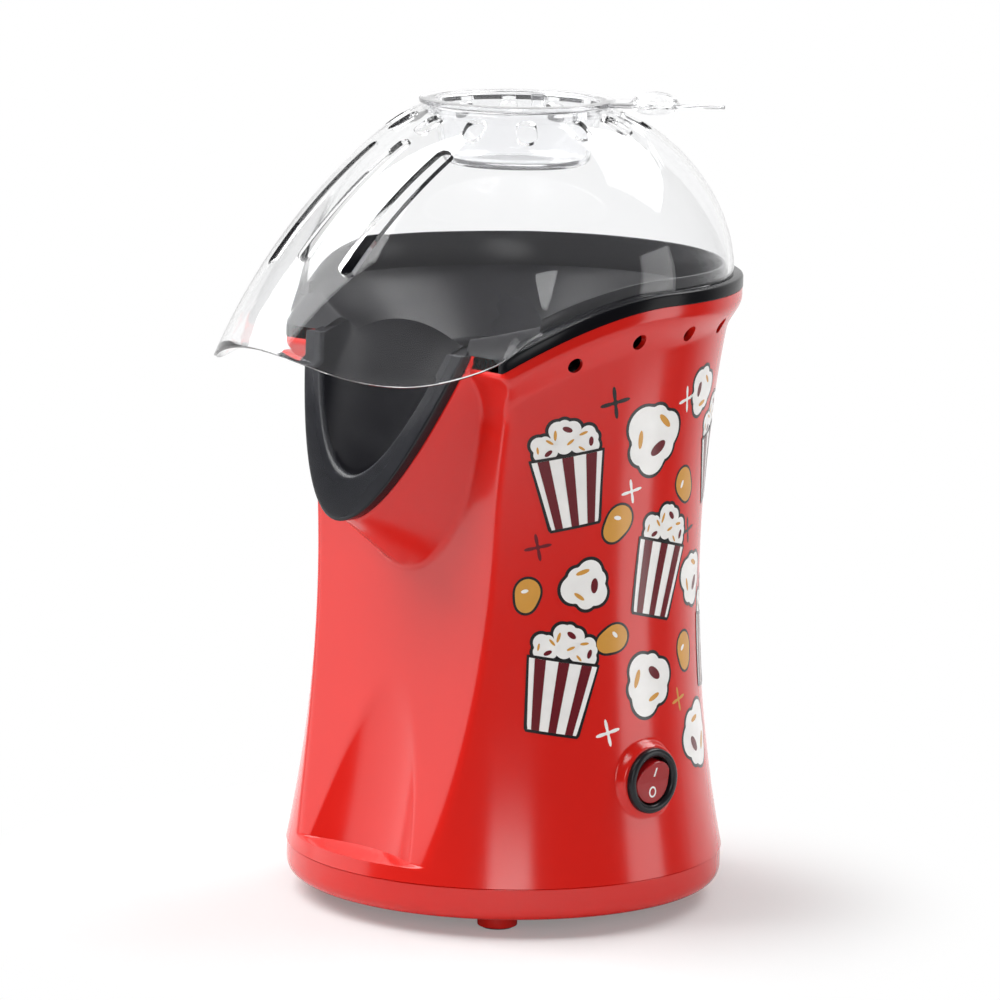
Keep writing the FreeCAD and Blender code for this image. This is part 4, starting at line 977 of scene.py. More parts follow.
    def _in_mouth(self, spot: Array) -> bool:
        """True for a place on the flange's back, inside the beak's wall.

        Args:
            spot: the place.

        Returns:
            True if the place is inside.
        """
        across, depth, height = spot
        on_plane = abs(-depth - float(self.spout.back(height))) < self.mouth_near
        half = float(self.spout.half_width(np.array(height), self.spout.flange_half - self.wall,
                                           self.spout.flange_tip + self.wall))
        return on_plane and abs(across) < half

    def _openings(self) -> bpy.types.Object:
        """Cutters for the air holes, the switch and the cord's gland.

        Returns:
            The cutters as one piece.
        """
        parts = []
        for item in range(self.hole_count):
            angle = math.radians(self.hole_start + item * self.hole_pitch)
            height = float(self.rim.at(-self.collar * math.cos(angle))) - self.hole_drop
            way = Vector((math.sin(angle), -math.cos(angle), 0.0))
            level = Vector((0.0, 0.0, height))
            parts.append(rod(level + way * self.hole_from, level + way * self.cut_to, self.hole_radius))
        for way, height, radius, sides in (
                (Vector((1.0, 0.0, 0.0)), self.switch_height, self.switch_bore, 64),
                (Vector((0.0, 1.0, 0.0)), self.gland_height, self.gland_radius, 48)):
            level = Vector((0.0, 0.0, height))
            parts.append(rod(level + way * self.bore_from, level + way * self.cut_to, radius, sides))
        return joined("barrel_openings", parts)


@dataclass
class BasePlate:
    """Red underside with foot posts, air inlets and inner posts."""

    radius: float = 77.5
    bottom: float = 6.0
    top: float = 17.8
    wall: float = 3.0
    round: float = 9.0
    foot_half: float = 41.0
    foot_radius: float = 7.0
    screw_ring: float = 66.0
    screw_turns: tuple[float, ...] = (65.0, 155.0, 205.0, 295.0)
    post_ring: float = 49.0
    post_turns: tuple[float, ...] = (45.0, 135.0, 225.0, 315.0)
    post_height: float = 66.0
    post_radius: float = 4.5
    pad_radius: float = 5.7
    pillar_radius: float = 4.4
    head_radius: float = 3.3
    screw_hole: float = 1.65
    inlet_count: int = 16
    inlet_half: float = 2.0
    inlet_ends: Pair = (32.0, 44.0)

    def build(self) -> bpy.types.Object:
        """The dish with its openings.

        Returns:
            The piece.
        """
        outline = [(0.001, self.bottom, 0.0), (self.radius, self.bottom, self.round),
                   (self.radius, self.top, 0.4), (self.radius - self.wall, self.top, 0.4),
                   (self.radius - self.wall, self.bottom + self.wall, self.round - self.wall),
                   (0.001, self.bottom + self.wall, 0.0)]
        dish = turned("base_dish", rounded(outline, 10), 160)
        slots = []
        for turn in even_turns(self.inlet_count):
            angle = turn + math.pi / self.inlet_count
            slots.append(self._slot(Vector((math.sin(angle), -math.cos(angle), 0.0))))
        up = Vector((0.0, 0.0, 1.0))
        for spot in self._around(self.screw_ring, self.screw_turns):
            slots.append(rod(spot - up * 2.0, spot + up * 12.0, self.head_radius))
        drilled(dish, joined("base_inlets", slots))
        return dish

    @staticmethod
    def _around(ring: float, turns: Iterable[float]) -> list[Vector]:
        """Places on a ring round the axis, by degrees from the front."""
        return [Vector((ring * math.sin(math.radians(turn)), -ring * math.cos(math.radians(turn)), 0.0))
                for turn in turns]

    def _slot(self, way: Vector) -> Solid:
        """A long round-ended cutter along a direction.

        Args:
            way: direction out from the axis.

        Returns:
            Corners and faces.
        """
        ends = [way * reach for reach in self.inlet_ends]
        levels = [Vector((0.0, 0.0, height)) for height in (self.bottom - 2.0, self.bottom + self.wall + 2.0)]
        return slot_cutter(ends, way, Vector((-way.y, way.x, 0.0)), self.inlet_half, levels, 8)

    def posts(self) -> bpy.types.Object:
        """Foot posts under the dish, screw pillars and the posts that stand on it.

        Returns:
            The posts as one piece.
        """
        parts = []
        high = self.bottom + 1.5
        foot = rounded([(0.001, 2.0, 0.0), (self.pad_radius, 2.0, 0.0), (self.pad_radius, 0.6, 0.3),
                        (self.foot_radius, 0.6, 0.9), (self.foot_radius, high, 0.0), (0.001, high, 0.0)], 5)
        pillar = rounded([(self.screw_hole, 10.0, 0.0), (self.head_radius, 10.0, 0.0),
                          (self.head_radius, high, 0.0), (self.pillar_radius, high, 0.0),
                          (self.pillar_radius, self.top, 0.4), (self.screw_hole, self.top, 0.0)], 5)
        column = rounded([(0.001, high, 0.0), (self.post_radius, high, 0.0),
                          (self.post_radius, self.post_height, 0.4), (0.001, self.post_height, 0.0)], 5)
        feet = [(side * self.foot_half, depth * self.foot_half, 0.0) for side in (-1, 1) for depth in (-1, 1)]
        for outline, spots in ((foot, feet), (pillar, self._around(self.screw_ring, self.screw_turns)),
                               (column, self._around(self.post_ring, self.post_turns))):
            parts += [spun(outline, 40, Axis.UP, spot) for spot in spots]
        return joined("base_posts", parts)


@dataclass
class ChuteInsert:
    """Black insert: rim band, upstanding wall, popcorn bowl, sill, slide and mouth flange."""

    rim: Rim = field(default_factory=Rim)
    spout: Spout = field(default_factory=Spout)
    band: float = 80.6
    band_height: float = 4.5
    corner: float = 57.4
    wall_outer: float = 74.5
    wall_inner: float = 73.0
    wall_height: float = 8.5
    wall_end: float = 44.0
    throat: float = 40.0
    floor: float = 192.0
    rise: float = 23.0
    sheet: float = 2.2
    sill_back: float = 50.0
    sill_top: float = 207.0
    sill_side: float = 200.0
    sill_run: float = 11.0
    sill_roll: float = 0.045
    sill_blend: float = 0.12
    bowl_round: float = 1.5
    band_foot: float = 76.0
    block_foot: float = 196.0
    block_tops: tuple[float, float, float] = (204.6, 203.2, 201.8)

    @property
    def mouth_turn(self) -> float:
        """Angle from the front to the sill's ends."""
        return math.atan2(self.spout.mouth_half, self.sill_back)

    def sill(self, across: Array) -> Array:
        """Height of the sill's arch at a place across."""
        return self.sill_top - (self.sill_top - self.sill_side) * (across / self.spout.mouth_half) ** 2

    def bowl(self, reach: Array, angle: Array) -> Array:
        """Height of the bowl's inside, with the sill's hump in front.

        Args:
            reach: distances from the axis.
            angle: angles from the front, in the same shape.

        Returns:
            Heights in millimetres.
        """
        cone = self.floor + self.rise * (reach - self.throat) / (self.wall_inner - self.throat)
        level = smooth_least(cone, self.rim.at(-reach * np.cos(angle)) + self.band_height, self.bowl_round)
        away = self.sill_back - reach * np.cos(angle)
        crest = self.sill(reach * np.sin(angle))
        hump = ease(1.0 - away / self.sill_run) * ease((self.mouth_turn - np.abs(angle)) / self.sill_blend)
        return level + (crest - level) * hump

    def crest(self, across: Array) -> Array:
        """Height of the bowl's front edge at a place across."""
        return self.bowl(np.hypot(across, self.sill_back), np.arctan2(across, self.sill_back))

    def build(self) -> bpy.types.Object:
        """The band, wall and bowl as one closed ring.

        Returns:
            The piece.
        """
        mouth = math.degrees(self.mouth_turn)
        half = np.concatenate((np.arange(0.0, mouth, 0.7), np.array((mouth - 0.02, mouth + 0.02)),
                               np.arange(mouth + 0.6, 52.0, 0.6), np.arange(52.0, 56.0, 0.15),
                               np.arange(56.0, 180.0, 1.2)))
        angle = np.radians(np.concatenate((half, [180.0], -half[:0:-1])))
        open_front = np.abs(angle) < self.mouth_turn
        ahead = np.maximum(np.cos(angle), 0.1)
        corner = np.where(np.cos(angle) > 0.1, self.corner / ahead, FAR)
        limit = np.where(open_front, self.sill_back / ahead, corner)
        standing = np.clip((self.wall_end - self.wall_outer * np.cos(angle)) / 0.25 + 0.5, 0.0, 1.0)
        rows: list[Array] = []

        def add(reach: float, level: Callable[[Array], Array]) -> None:
            """Add a ring of corners at a reach, on a level.

            Args:
                reach: distance from the axis.
                level: height at held distances.
            """
            held = np.minimum(reach, limit)
            height = np.where(open_front & (reach >= limit), self.crest(held * np.sin(angle)), level(held))
            rows.append(np.stack((held * np.sin(angle), -held * np.cos(angle), height), -1))

        def over_rim(reach: float, rise: Array | float) -> None:
            """Add a ring of corners over the barrel's rim."""
            add(reach, lambda held: self.rim.at(-held * np.cos(angle)) + rise)

        top, wall = self.band_height, self.band_height + (self.wall_height - self.band_height) * standing
        for out, up in ((self.band_foot, 0.0), (self.band - 0.3, 0.0), (self.band, 0.3),
                        (self.band, top - 0.8), (self.band - 0.2, top - 0.3), (self.band - 0.7, top),
                        (self.wall_outer + 0.9, top)):
            over_rim(out, up)
        over_rim(self.wall_outer, top + 0.3 * standing)
        over_rim(self.wall_outer, wall - 0.4 * standing)
        over_rim(self.wall_outer - 0.3, wall)
        over_rim(self.wall_inner + 0.3, wall)
        over_rim(self.wall_inner, wall - 0.4 * standing)
        inside = np.linspace(self.wall_inner, self.throat + 0.6, 26)
        for out in inside:
            add(float(out), lambda held: self.bowl(held, angle))
        for out, down in ((self.throat, 0.9), (self.throat - 0.2, 2.0), (self.throat, self.sheet + 0.4)):
            add(out, lambda held, down=down: self.bowl(held, angle) - down)
        for out in inside[::-3]:
            add(float(out), lambda held: self.bowl(held, angle) - self.sheet)
        grid = np.stack(rows, 0)
        piece = new_piece("chute_ring", grid.reshape(-1, 3), grid_faces(len(rows), len(angle), True, True))
        tidy(piece, 42.0)
        return piece

    def slide(self) -> bpy.types.Object:
        """The way from the sill down to the mouth, with the corner blocks beside it.

        Returns:
            The piece.
        """
        lines, steps = 41, 24
        across = np.linspace(-self.spout.mouth_half, self.spout.mouth_half, lines)[None, :]
        share = np.linspace(0.0, 1.0, steps)[:, None]
        start = self.crest(across)
        bow = 1 - (across / self.spout.mouth_half) ** 2
        end = self.spout.top - (self.spout.top - self.spout.mouth_tip) * bow
        height = start + (end - start) * (share - self.sill_roll * np.exp(-share / self.sill_roll))
        reach_end = self.spout.front(end) - self.spout.thickness * 0.4
        depth = -(self.sill_back - 0.4 + (reach_end - self.sill_back + 0.4) * share)
        upper = np.stack((np.broadcast_to(across, height.shape), depth, height), -1)
        lower = upper - np.array((0.0, 0.0, self.sheet))
        loop = np.concatenate((upper, lower[::-1]), 0)
        faces = grid_faces(2 * steps, lines, True)
        parts = [(loop.reshape(-1, 3), faces + self._ends(2 * steps, lines))]
        parts += [self._block(side) for side in (-1, 1)]
        return joined("chute_slide", parts)

    @staticmethod
    def _ends(rows: int, columns: int) -> Faces:
        """Closing faces of a loop of rows at its first and last columns.

        Args:
            rows: rows of corners.
            columns: columns of corners.

        Returns:
            The faces.
        """
        half = rows // 2
        faces = []
        for column in (0, columns - 1):
            for row in range(half - 1):
                other = rows - 1 - row
                faces.append((row * columns + column, (row + 1) * columns + column,
                              (other - 1) * columns + column, other * columns + column))
        return faces

    def _block(self, side: int) -> Solid:
        """The black corner between the slide's edge and the band's end.

        Args:
            side: -1 for the left and 1 for the right.

        Returns:
            Corners and faces.
        """
        half = self.spout.mouth_half
        front = float(self.spout.front(self.spout.top)) - self.spout.thickness * 0.5
        back, middle, low = self.block_tops
        ends = [(half - 0.2, self.sill_back + 0.2, back), (half + 5.4, self.corner - 0.5, middle),
                (half + 6.5, front, low), (half - 0.2, front, low)]
        points = [(side * x, -y, level) for x, y, level in ends]
        points += [(side * x, -y, self.block_foot) for x, y, _level in ends]
        return np.array(points), [(0, 1, 2, 3), (7, 6, 5, 4)] + grid_faces(2, 4, False, True)

    def flange(self) -> bpy.types.Object:
        """The mouth's V-shaped flange with soft edges.

        Returns:
            The piece.
        """
        steps = np.linspace(0.0, 1.0, 97)
        spout = self.spout

        def curve(half: float, tip: float) -> tuple[Array, Array]:
            """Places across and heights along a V."""
            return half * (2 * steps - 1), spout.top - 4 * (spout.top - tip) * steps * (1 - steps)

        inner, outer = curve(spout.mouth_half, spout.mouth_tip), curve(spout.flange_half, spout.flange_tip)
        width = spout.flange_half - spout.mouth_half
        outline = rounded([(0.0, 0.0, 1.1), (width, 0.0, 0.8), (width, spout.thickness, 0.3),
                           (0.0, spout.thickness, 0.3)], 4)
        lean = math.cos(math.radians(spout.lean))
        rows = []
        for out, behind in outline:
            share = out / width
            across = inner[0] * (1 - share) + outer[0] * share
            level = inner[1] * (1 - share) + outer[1] * share
            rows.append(np.stack((across, -(spout.front(level) - behind / lean), level), -1))
        grid = np.stack(rows, 0)
        count = len(rows)
        faces = grid_faces(count, len(steps), True)
        faces.append(tuple(row * len(steps) for row in range(count)))
        faces.append(tuple(row * len(steps) + len(steps) - 1 for row in range(count))[::-1])
        piece = new_piece("chute_flange", grid.reshape(-1, 3), faces)
        tidy(piece, 40.0)
        return piece


@dataclass
class Hood:
    """Clear hood with its lip, slots and holes."""

    rim: Rim = field(default_factory=Rim)
    radius: float = 77.3
    wall: float = 2.0
    rise: float = 4.8
    top: float = 281.5
    opening: float = 32.0
    reach: float = 122.0
    lip_half: float = 59.5
    lip_back: float = 51.0
    lip_height: float = 200.8
    lip_wave: float = 5.4
    lip_period: float = 105.0
    corner_reach: float = 57.4
    slot_width: float = 5.0
    slot_length: float = 61.5
    slot_lean: float = 38.6
    slot_pitch: float = 18.6
    slot_reach: float = 76.9
    slot_height: float = 254.5
    hole_count: int = 14
    hole_width: float = 7.0
    hole_length: float = 12.0
    hole_lean: float = 32.0
    hole_ring: float = 42.5
    hole_height: float = 277.5
    cutter_half: float = 12.0
    front_span: float = 80.0
    edge_share: float = 0.4
    shoulder_out: Pair = (0.55, 0.13)
    shoulder_fall: Pair = (0.14, 0.06)
    belly_in: float = 0.235
    belly_rise: float = 0.44
    inset_in: tuple[float, ...] = (0.45, 0.6, 0.9, 1.0)
    inset_down: tuple[float, ...] = (0.9, 0.8, 0.45, 0.0)
    lines: int = 72

    def edge(self, degrees: float) -> Vector:
        """Lower edge at an angle: the rim's line behind, the waved lip in front.

        Args:
            degrees: angle from the front.

        Returns:
            The place on the edge.
        """
        turn = (degrees + 180.0) % 360.0 - 180.0
        corner = math.degrees(math.acos(self.lip_back / self.radius))
        if abs(turn) >= corner:
            angle = math.radians(turn)
            depth = -self.radius * math.cos(angle)
            return Vector((self.radius * math.sin(angle), depth, float(self.rim.at(depth)) + self.rise))
        swing = turn / corner * 90.0
        angle = math.radians(swing)
        depth = -self.lip_back - (self.reach - self.lip_back) * math.cos(angle)
        level = self.lip_height + self.lip_wave * math.cos(math.radians(360.0 * swing / self.lip_period))
        if -depth < self.corner_reach + 2.0:
            level = max(level, float(self.rim.at(depth)) + self.rise + 1.0)
        return Vector((self.lip_half * math.sin(angle), depth, level))

    def control(self, degrees: float, inset: float) -> list[Vector]:
        """Control points of one line from the top opening down to the edge.

        Args:
            degrees: angle from the front.
            inset: distance inside the outer surface.

        Returns:
            Four points.
        """
        turn = abs((degrees + 180.0) % 360.0 - 180.0)
        front = 0.5 + 0.5 * math.cos(math.pi * min(turn / self.front_span, 1.0))
        angle = math.radians(degrees)
        outward = Vector((math.sin(angle), -math.cos(angle), 0.0))
        edge = self.edge(degrees)
        crown = outward * self.opening + Vector((0.0, 0.0, self.top))
        swell = max(math.cos(math.radians(turn)), 0.0) ** 4
        egg = outward * (self.radius + (self.reach - self.radius) * swell)
        side = Vector((edge.x, edge.y, 0.0)) * self.edge_share + egg * (1 - self.edge_share)
        way = Vector((side.x - crown.x, side.y - crown.y, 0.0))
        fall, up = self.top - edge.z, Vector((0.0, 0.0, 1.0))
        out, down = self.shoulder_out, self.shoulder_fall
        shoulder = crown + way * (out[0] - out[1] * front) - up * (fall * (down[0] + down[1] * front))
        belly = side - way * (self.belly_in * front) + up * (edge.z + fall * self.belly_rise)
        way.normalize()
        return [spot - way * (inset * a) - up * (inset * b)
                for spot, a, b in zip((crown, shoulder, belly, edge), self.inset_in, self.inset_down)]

    def surface(self, inset: float, around: int, along: int) -> Array:
        """Grid of points of the outside, or of the inside by an inset.

        Args:
            inset: distance inside the outer surface.
            around: points round the axis.
            along: points from the top opening to the edge.

        Returns:
            Points as [around, along, xyz].
        """
        swell = 3.0 / (2.0 + math.cos(2 * math.pi / self.lines))
        net = np.array([[tuple(spot) for spot in self.control(360.0 * item / self.lines, inset)]
                        for item in range(self.lines)])
        net[..., :2] *= swell
        place_on = np.arange(around) * self.lines / around
        base = np.floor(place_on).astype(int)
        part = place_on - base
        weights = np.stack(((1 - part) ** 3, 3 * part**3 - 6 * part**2 + 4,
                            -3 * part**3 + 3 * part**2 + 3 * part + 1, part**3), -1) / 6
        lines = sum(weights[:, step, None, None] * net[(base + step - 1) % self.lines] for step in range(4))
        share = np.linspace(0.0, 1.0, along)
        rest = 1 - share
        cubic = np.stack((rest**3, 3 * share * rest**2, 3 * share**2 * rest, share**3), -1)
        return np.einsum("vk,ukx->uvx", cubic, lines)

    def build(self) -> bpy.types.Object:
        """The hood as one shell with its openings.

        Returns:
            The piece.
        """
        around, along = 288, 44
        outer, inner = self.surface(0.0, around, along), self.surface(self.wall, around, along)
        edge_round = (outer[:, -1] + inner[:, -1]) / 2 - np.array((0.0, 0.0, 0.7))
        crown_round = (outer[:, 0] + inner[:, 0]) / 2 + np.array((0.0, 0.0, 0.4))
        loop = np.concatenate((crown_round[:, None], outer, edge_round[:, None], inner[:, ::-1]), 1)
        faces = grid_faces(around, loop.shape[1], True, True)
        piece = new_piece("clear_hood", loop.reshape(-1, 3), faces)
        tidy(piece, 65.0)
        drilled(piece, self._openings(), 40.0)
        return piece

    def _openings(self) -> bpy.types.Object:
        """Cutters for the three slots and the ring of long holes.

        Returns:
            The cutters as one piece.
        """
        parts = []
        for item in (-1, 0, 1):
            middle = Vector((item * self.slot_pitch, -self.slot_reach, self.slot_height))
            parts.append(self._long_hole(middle, self.slot_width, self.slot_length, self.slot_lean, 0.0))
        middle = Vector((0.0, -self.hole_ring, self.hole_height))
        for item in range(self.hole_count):
            turn = 360.0 * item / self.hole_count
            parts.append(self._long_hole(middle, self.hole_width, self.hole_length, self.hole_lean, turn))
        return joined("hood_openings", parts)

    def _long_hole(self, middle: Vector, width: float, length: float, lean: float,
                   turn: float) -> Solid:
        """A round-ended cutter down the hood's front, swung round the axis.

        Args:
            middle: its middle before it is swung.
            width: its width.
            length: its length down the hood.
            lean: its lean from upright, in degrees.
            turn: its swing round the axis, in degrees.

        Returns:
            Corners and faces.
        """
        tilt, swing = math.radians(lean), Matrix.Rotation(math.radians(turn), 3, "Z")
        along = Vector((0.0, -math.cos(tilt), -math.sin(tilt)))
        out = Vector((0.0, -math.sin(tilt), math.cos(tilt)))
        half = width / 2
        run = along * (length / 2 - half)
        corners, faces = slot_cutter((middle - run, middle + run), along, Vector((1.0, 0.0, 0.0)), half,
                                     (out * -self.cutter_half, out * self.cutter_half), 12)
        return np.array([tuple(swing @ Vector(corner)) for corner in corners]), faces


@dataclass
class MeasuringCup:
    """Clear cup with a flat rim, a thumb tab and small lugs."""

    rim_low: float = 281.8
    rim: float = 34.5
    mouth: float = 30.5
    base: float = 25.4
    depth: float = 23.0
    wall: float = 1.6
    tab_turn: float = 129.0
    tab_root: float = 33.6
    tab_length: float = 39.4
    tab_wide: float = 11.8
    tab_narrow: float = 4.5
    tab_tip: float = 0.92
    tab_half: float = 0.75
    pad_reach: float = 48.5
    pad_length: float = 8.0
    pad_width: float = 7.0
    pad_rise: float = 3.8
    pad_drop: float = 3.0
    lug_turns: tuple[float, ...] = (92.0, 212.0, 332.0)
    lug_drop: float = 4.2
    lug_corners: ClassVar[tuple[Pair, ...]] = ((28.6, -5.0), (28.6, 5.0), (31.5, 4.4), (31.5, -4.4))

    def build(self) -> bpy.types.Object:
        """The turned cup.

        Returns:
            The piece.
        """
        high = self.rim_low + self.wall
        floor = high - self.depth
        outline = [(0.001, floor + 0.9, 0.0), (5.0, floor + 0.9, 0.4), (6.0, floor, 0.4),
                   (self.base, floor, 3.0), (self.mouth, self.rim_low, 0.8),
                   (self.rim, self.rim_low, 0.6), (self.rim, high, 0.6),
                   (self.mouth - self.wall, high, 0.8), (self.base - self.wall, floor + self.wall, 2.4),
                   (0.001, floor + self.wall, 0.0)]
        return turned("clear_cup", rounded(outline, 6), 128)

    def tab(self) -> bpy.types.Object:
        """The thumb tab with its lens-shaped pad.

        Returns:
            The piece.
        """
        turn = math.radians(self.tab_turn)
        way = Vector((math.sin(turn), -math.cos(turn), 0.0))
        side = Vector((math.cos(turn), math.sin(turn), 0.0))
        rows, across = 60, 21
        points = []
        for level in (1, -1):
            for row in range(rows + 1):
                share = row / rows
                reach = self.tab_root + self.tab_length * share
                half = self.tab_wide + (self.tab_narrow - self.tab_wide) * float(ease(share * 1.15))
                if share > self.tab_tip:
                    past = (share - self.tab_tip) / (1 - self.tab_tip)
                    half *= math.sqrt(max(1 - past**2, 0.0)) * 0.97 + 0.03
                for step in range(across):
                    out = 2 * step / (across - 1) - 1
                    edge = max(1 - abs(out) ** 8, 0.0) ** 0.5
                    along = (reach - self.pad_reach) / self.pad_length
                    lens = max(1 - along**2 - (out * half / self.pad_width) ** 2, 0.0) ** 0.5
                    spot = way * reach + side * (out * half)
                    pad = self.pad_rise if level > 0 else -self.pad_drop
                    rise = level * (self.tab_half * edge + 0.02) + lens * pad
                    points.append((spot.x, spot.y, self.rim_low + self.wall / 2 + rise))
        total = (rows + 1) * across
        faces = grid_faces(rows + 1, across) + grid_faces(rows + 1, across, start=total, flip=True)
        for row in range(rows):
            for column in (0, across - 1):
                here, below = row * across + column, (row + 1) * across + column
                faces.append((here, below, total + below, total + here))
        for row in (0, rows):
            for column in range(across - 1):
                here, beside = row * across + column, row * across + column + 1
                faces.append((here, beside, total + beside, total + here))
        piece = new_piece("clear_tab", np.array(points, float), faces)
        tidy(piece, 60.0)
        return piece

    def lugs(self) -> bpy.types.Object:
        """Small lugs under the rim that keep the cup in the hood's opening.

        Returns:
            The lugs as one piece.
        """
        parts = []
        for turn in self.lug_turns:
            points = []
            for low in (self.rim_low - self.lug_drop, self.rim_low + 0.2):
                for reach, swing in self.lug_corners:
                    angle = math.radians(turn + swing)
                    points.append((reach * math.sin(angle), -reach * math.cos(angle), low))
            parts.append((np.array(points), prism_faces(4)))
        piece = joined("cup_lugs", parts)
        softened(piece, 0.35)
        return piece


@dataclass
class RockerSwitch:
    """Round rocker switch: bezel, rocker and its marks."""

    face: float = 74.0
    height: float = 52.0
    bezel: float = 11.5
    rocker: float = 7.7
    well: float = 8.5
    tilt: float = 10.0
    barrel: float = 10.0
    depth: float = 16.0
    well_depth: float = 9.4
    lever_rise: float = 1.0
    lever_foot: float = 3.85
    ridge: float = 0.6
    ink_lift: float = 0.03
    ink_thickness: float = 0.06
    bar_half: float = 0.32
    bar_ends: Pair = (1.9, 5.4)
    ring_reach: Pair = (1.35, 1.95)
    ring_squeeze: float = 0.86
    ring_drop: float = 3.7

    @property
    def centre(self) -> Place:
        """The rocker's pivot."""
        return (self.face, 0.0, self.height)

    def housing(self) -> bpy.types.Object:
        """Bezel ring with its barrel and well.

        Returns:
            The piece.
        """
        outline = [(0.001, -self.depth, 0.0), (self.barrel, -self.depth, 0.5), (self.barrel, 0.0, 0.0),
                   (self.bezel, 0.0, 0.0), (self.bezel, 1.9, 1.3), (self.bezel - 1.8, 2.4, 0.8),
                   (self.well, 1.6, 0.5), (self.well, -self.well_depth, 0.3), (0.001, -self.well_depth, 0.0)]
        return turned("switch_bezel", rounded(outline, 5), 96, Axis.SWITCH, self.centre)

    def lever(self) -> bpy.types.Object:
        """The rocker with its two leaning faces.

        Returns:
            The piece.
        """
        segments, rings = 72, 10
        points = [self._face_spot(0.0, 0.0)]
        for ring in range(1, rings + 1):
            reach = self.rocker * ring / rings
            points += [self._face_spot(reach * math.cos(angle), reach * math.sin(angle))
                       for angle in even_turns(segments)]
        for angle in even_turns(segments):
            across, up = self.rocker * math.cos(angle), self.rocker * math.sin(angle)
            points.append(self._tilted(-self.lever_foot, across, up))
        faces = disc_faces(rings + 1, segments)
        faces.append(tuple(1 + rings * segments + step for step in range(segments)))
        piece = new_piece("rocker_lever", np.array(points), faces)
        tidy(piece, 30.0)
        softened(piece, 0.35)
        return piece

    def _tilted(self, out: float, across: float, up: float) -> Place:
        """A point of the tilted rocker."""
        swing = Matrix.Rotation(math.radians(self.tilt), 3, "Y")
        return tuple(swing @ Vector((out, across, up)) + Vector(self.centre))

    def _face_spot(self, across: float, up: float, lift: float = 0.0) -> Place:
        """A point on the rocker's leaning faces, or lifted off them."""
        rise = math.tan(math.radians(self.tilt)) * math.hypot(up, self.ridge)
        return self._tilted(self.lever_rise + lift + rise, across, up)

    def marks(self) -> list[bpy.types.Object]:
        """The generic bar and ring on the rocker's two faces.

        Returns:
            The two pieces.
        """
        bar = [self._face_spot(side, up, self.ink_lift)
               for side in (-self.bar_half, self.bar_half) for up in self.bar_ends]
        ring = [self._face_spot(reach * self.ring_squeeze * math.cos(angle),
                                reach * math.sin(angle) - self.ring_drop, self.ink_lift)
                for reach in self.ring_reach for angle in even_turns(40)]
        pieces = [new_piece("mark_bar", np.array(bar), [(0, 2, 3, 1)]),
                  new_piece("mark_ring", np.array(ring), grid_faces(2, 40, False, True))]
        for piece in pieces:
            change = piece.modifiers.new("ink", "SOLIDIFY")
            change.thickness = self.ink_thickness * MM
            change.offset = 0.0
            baked(piece)
            tidy(piece)
        return pieces


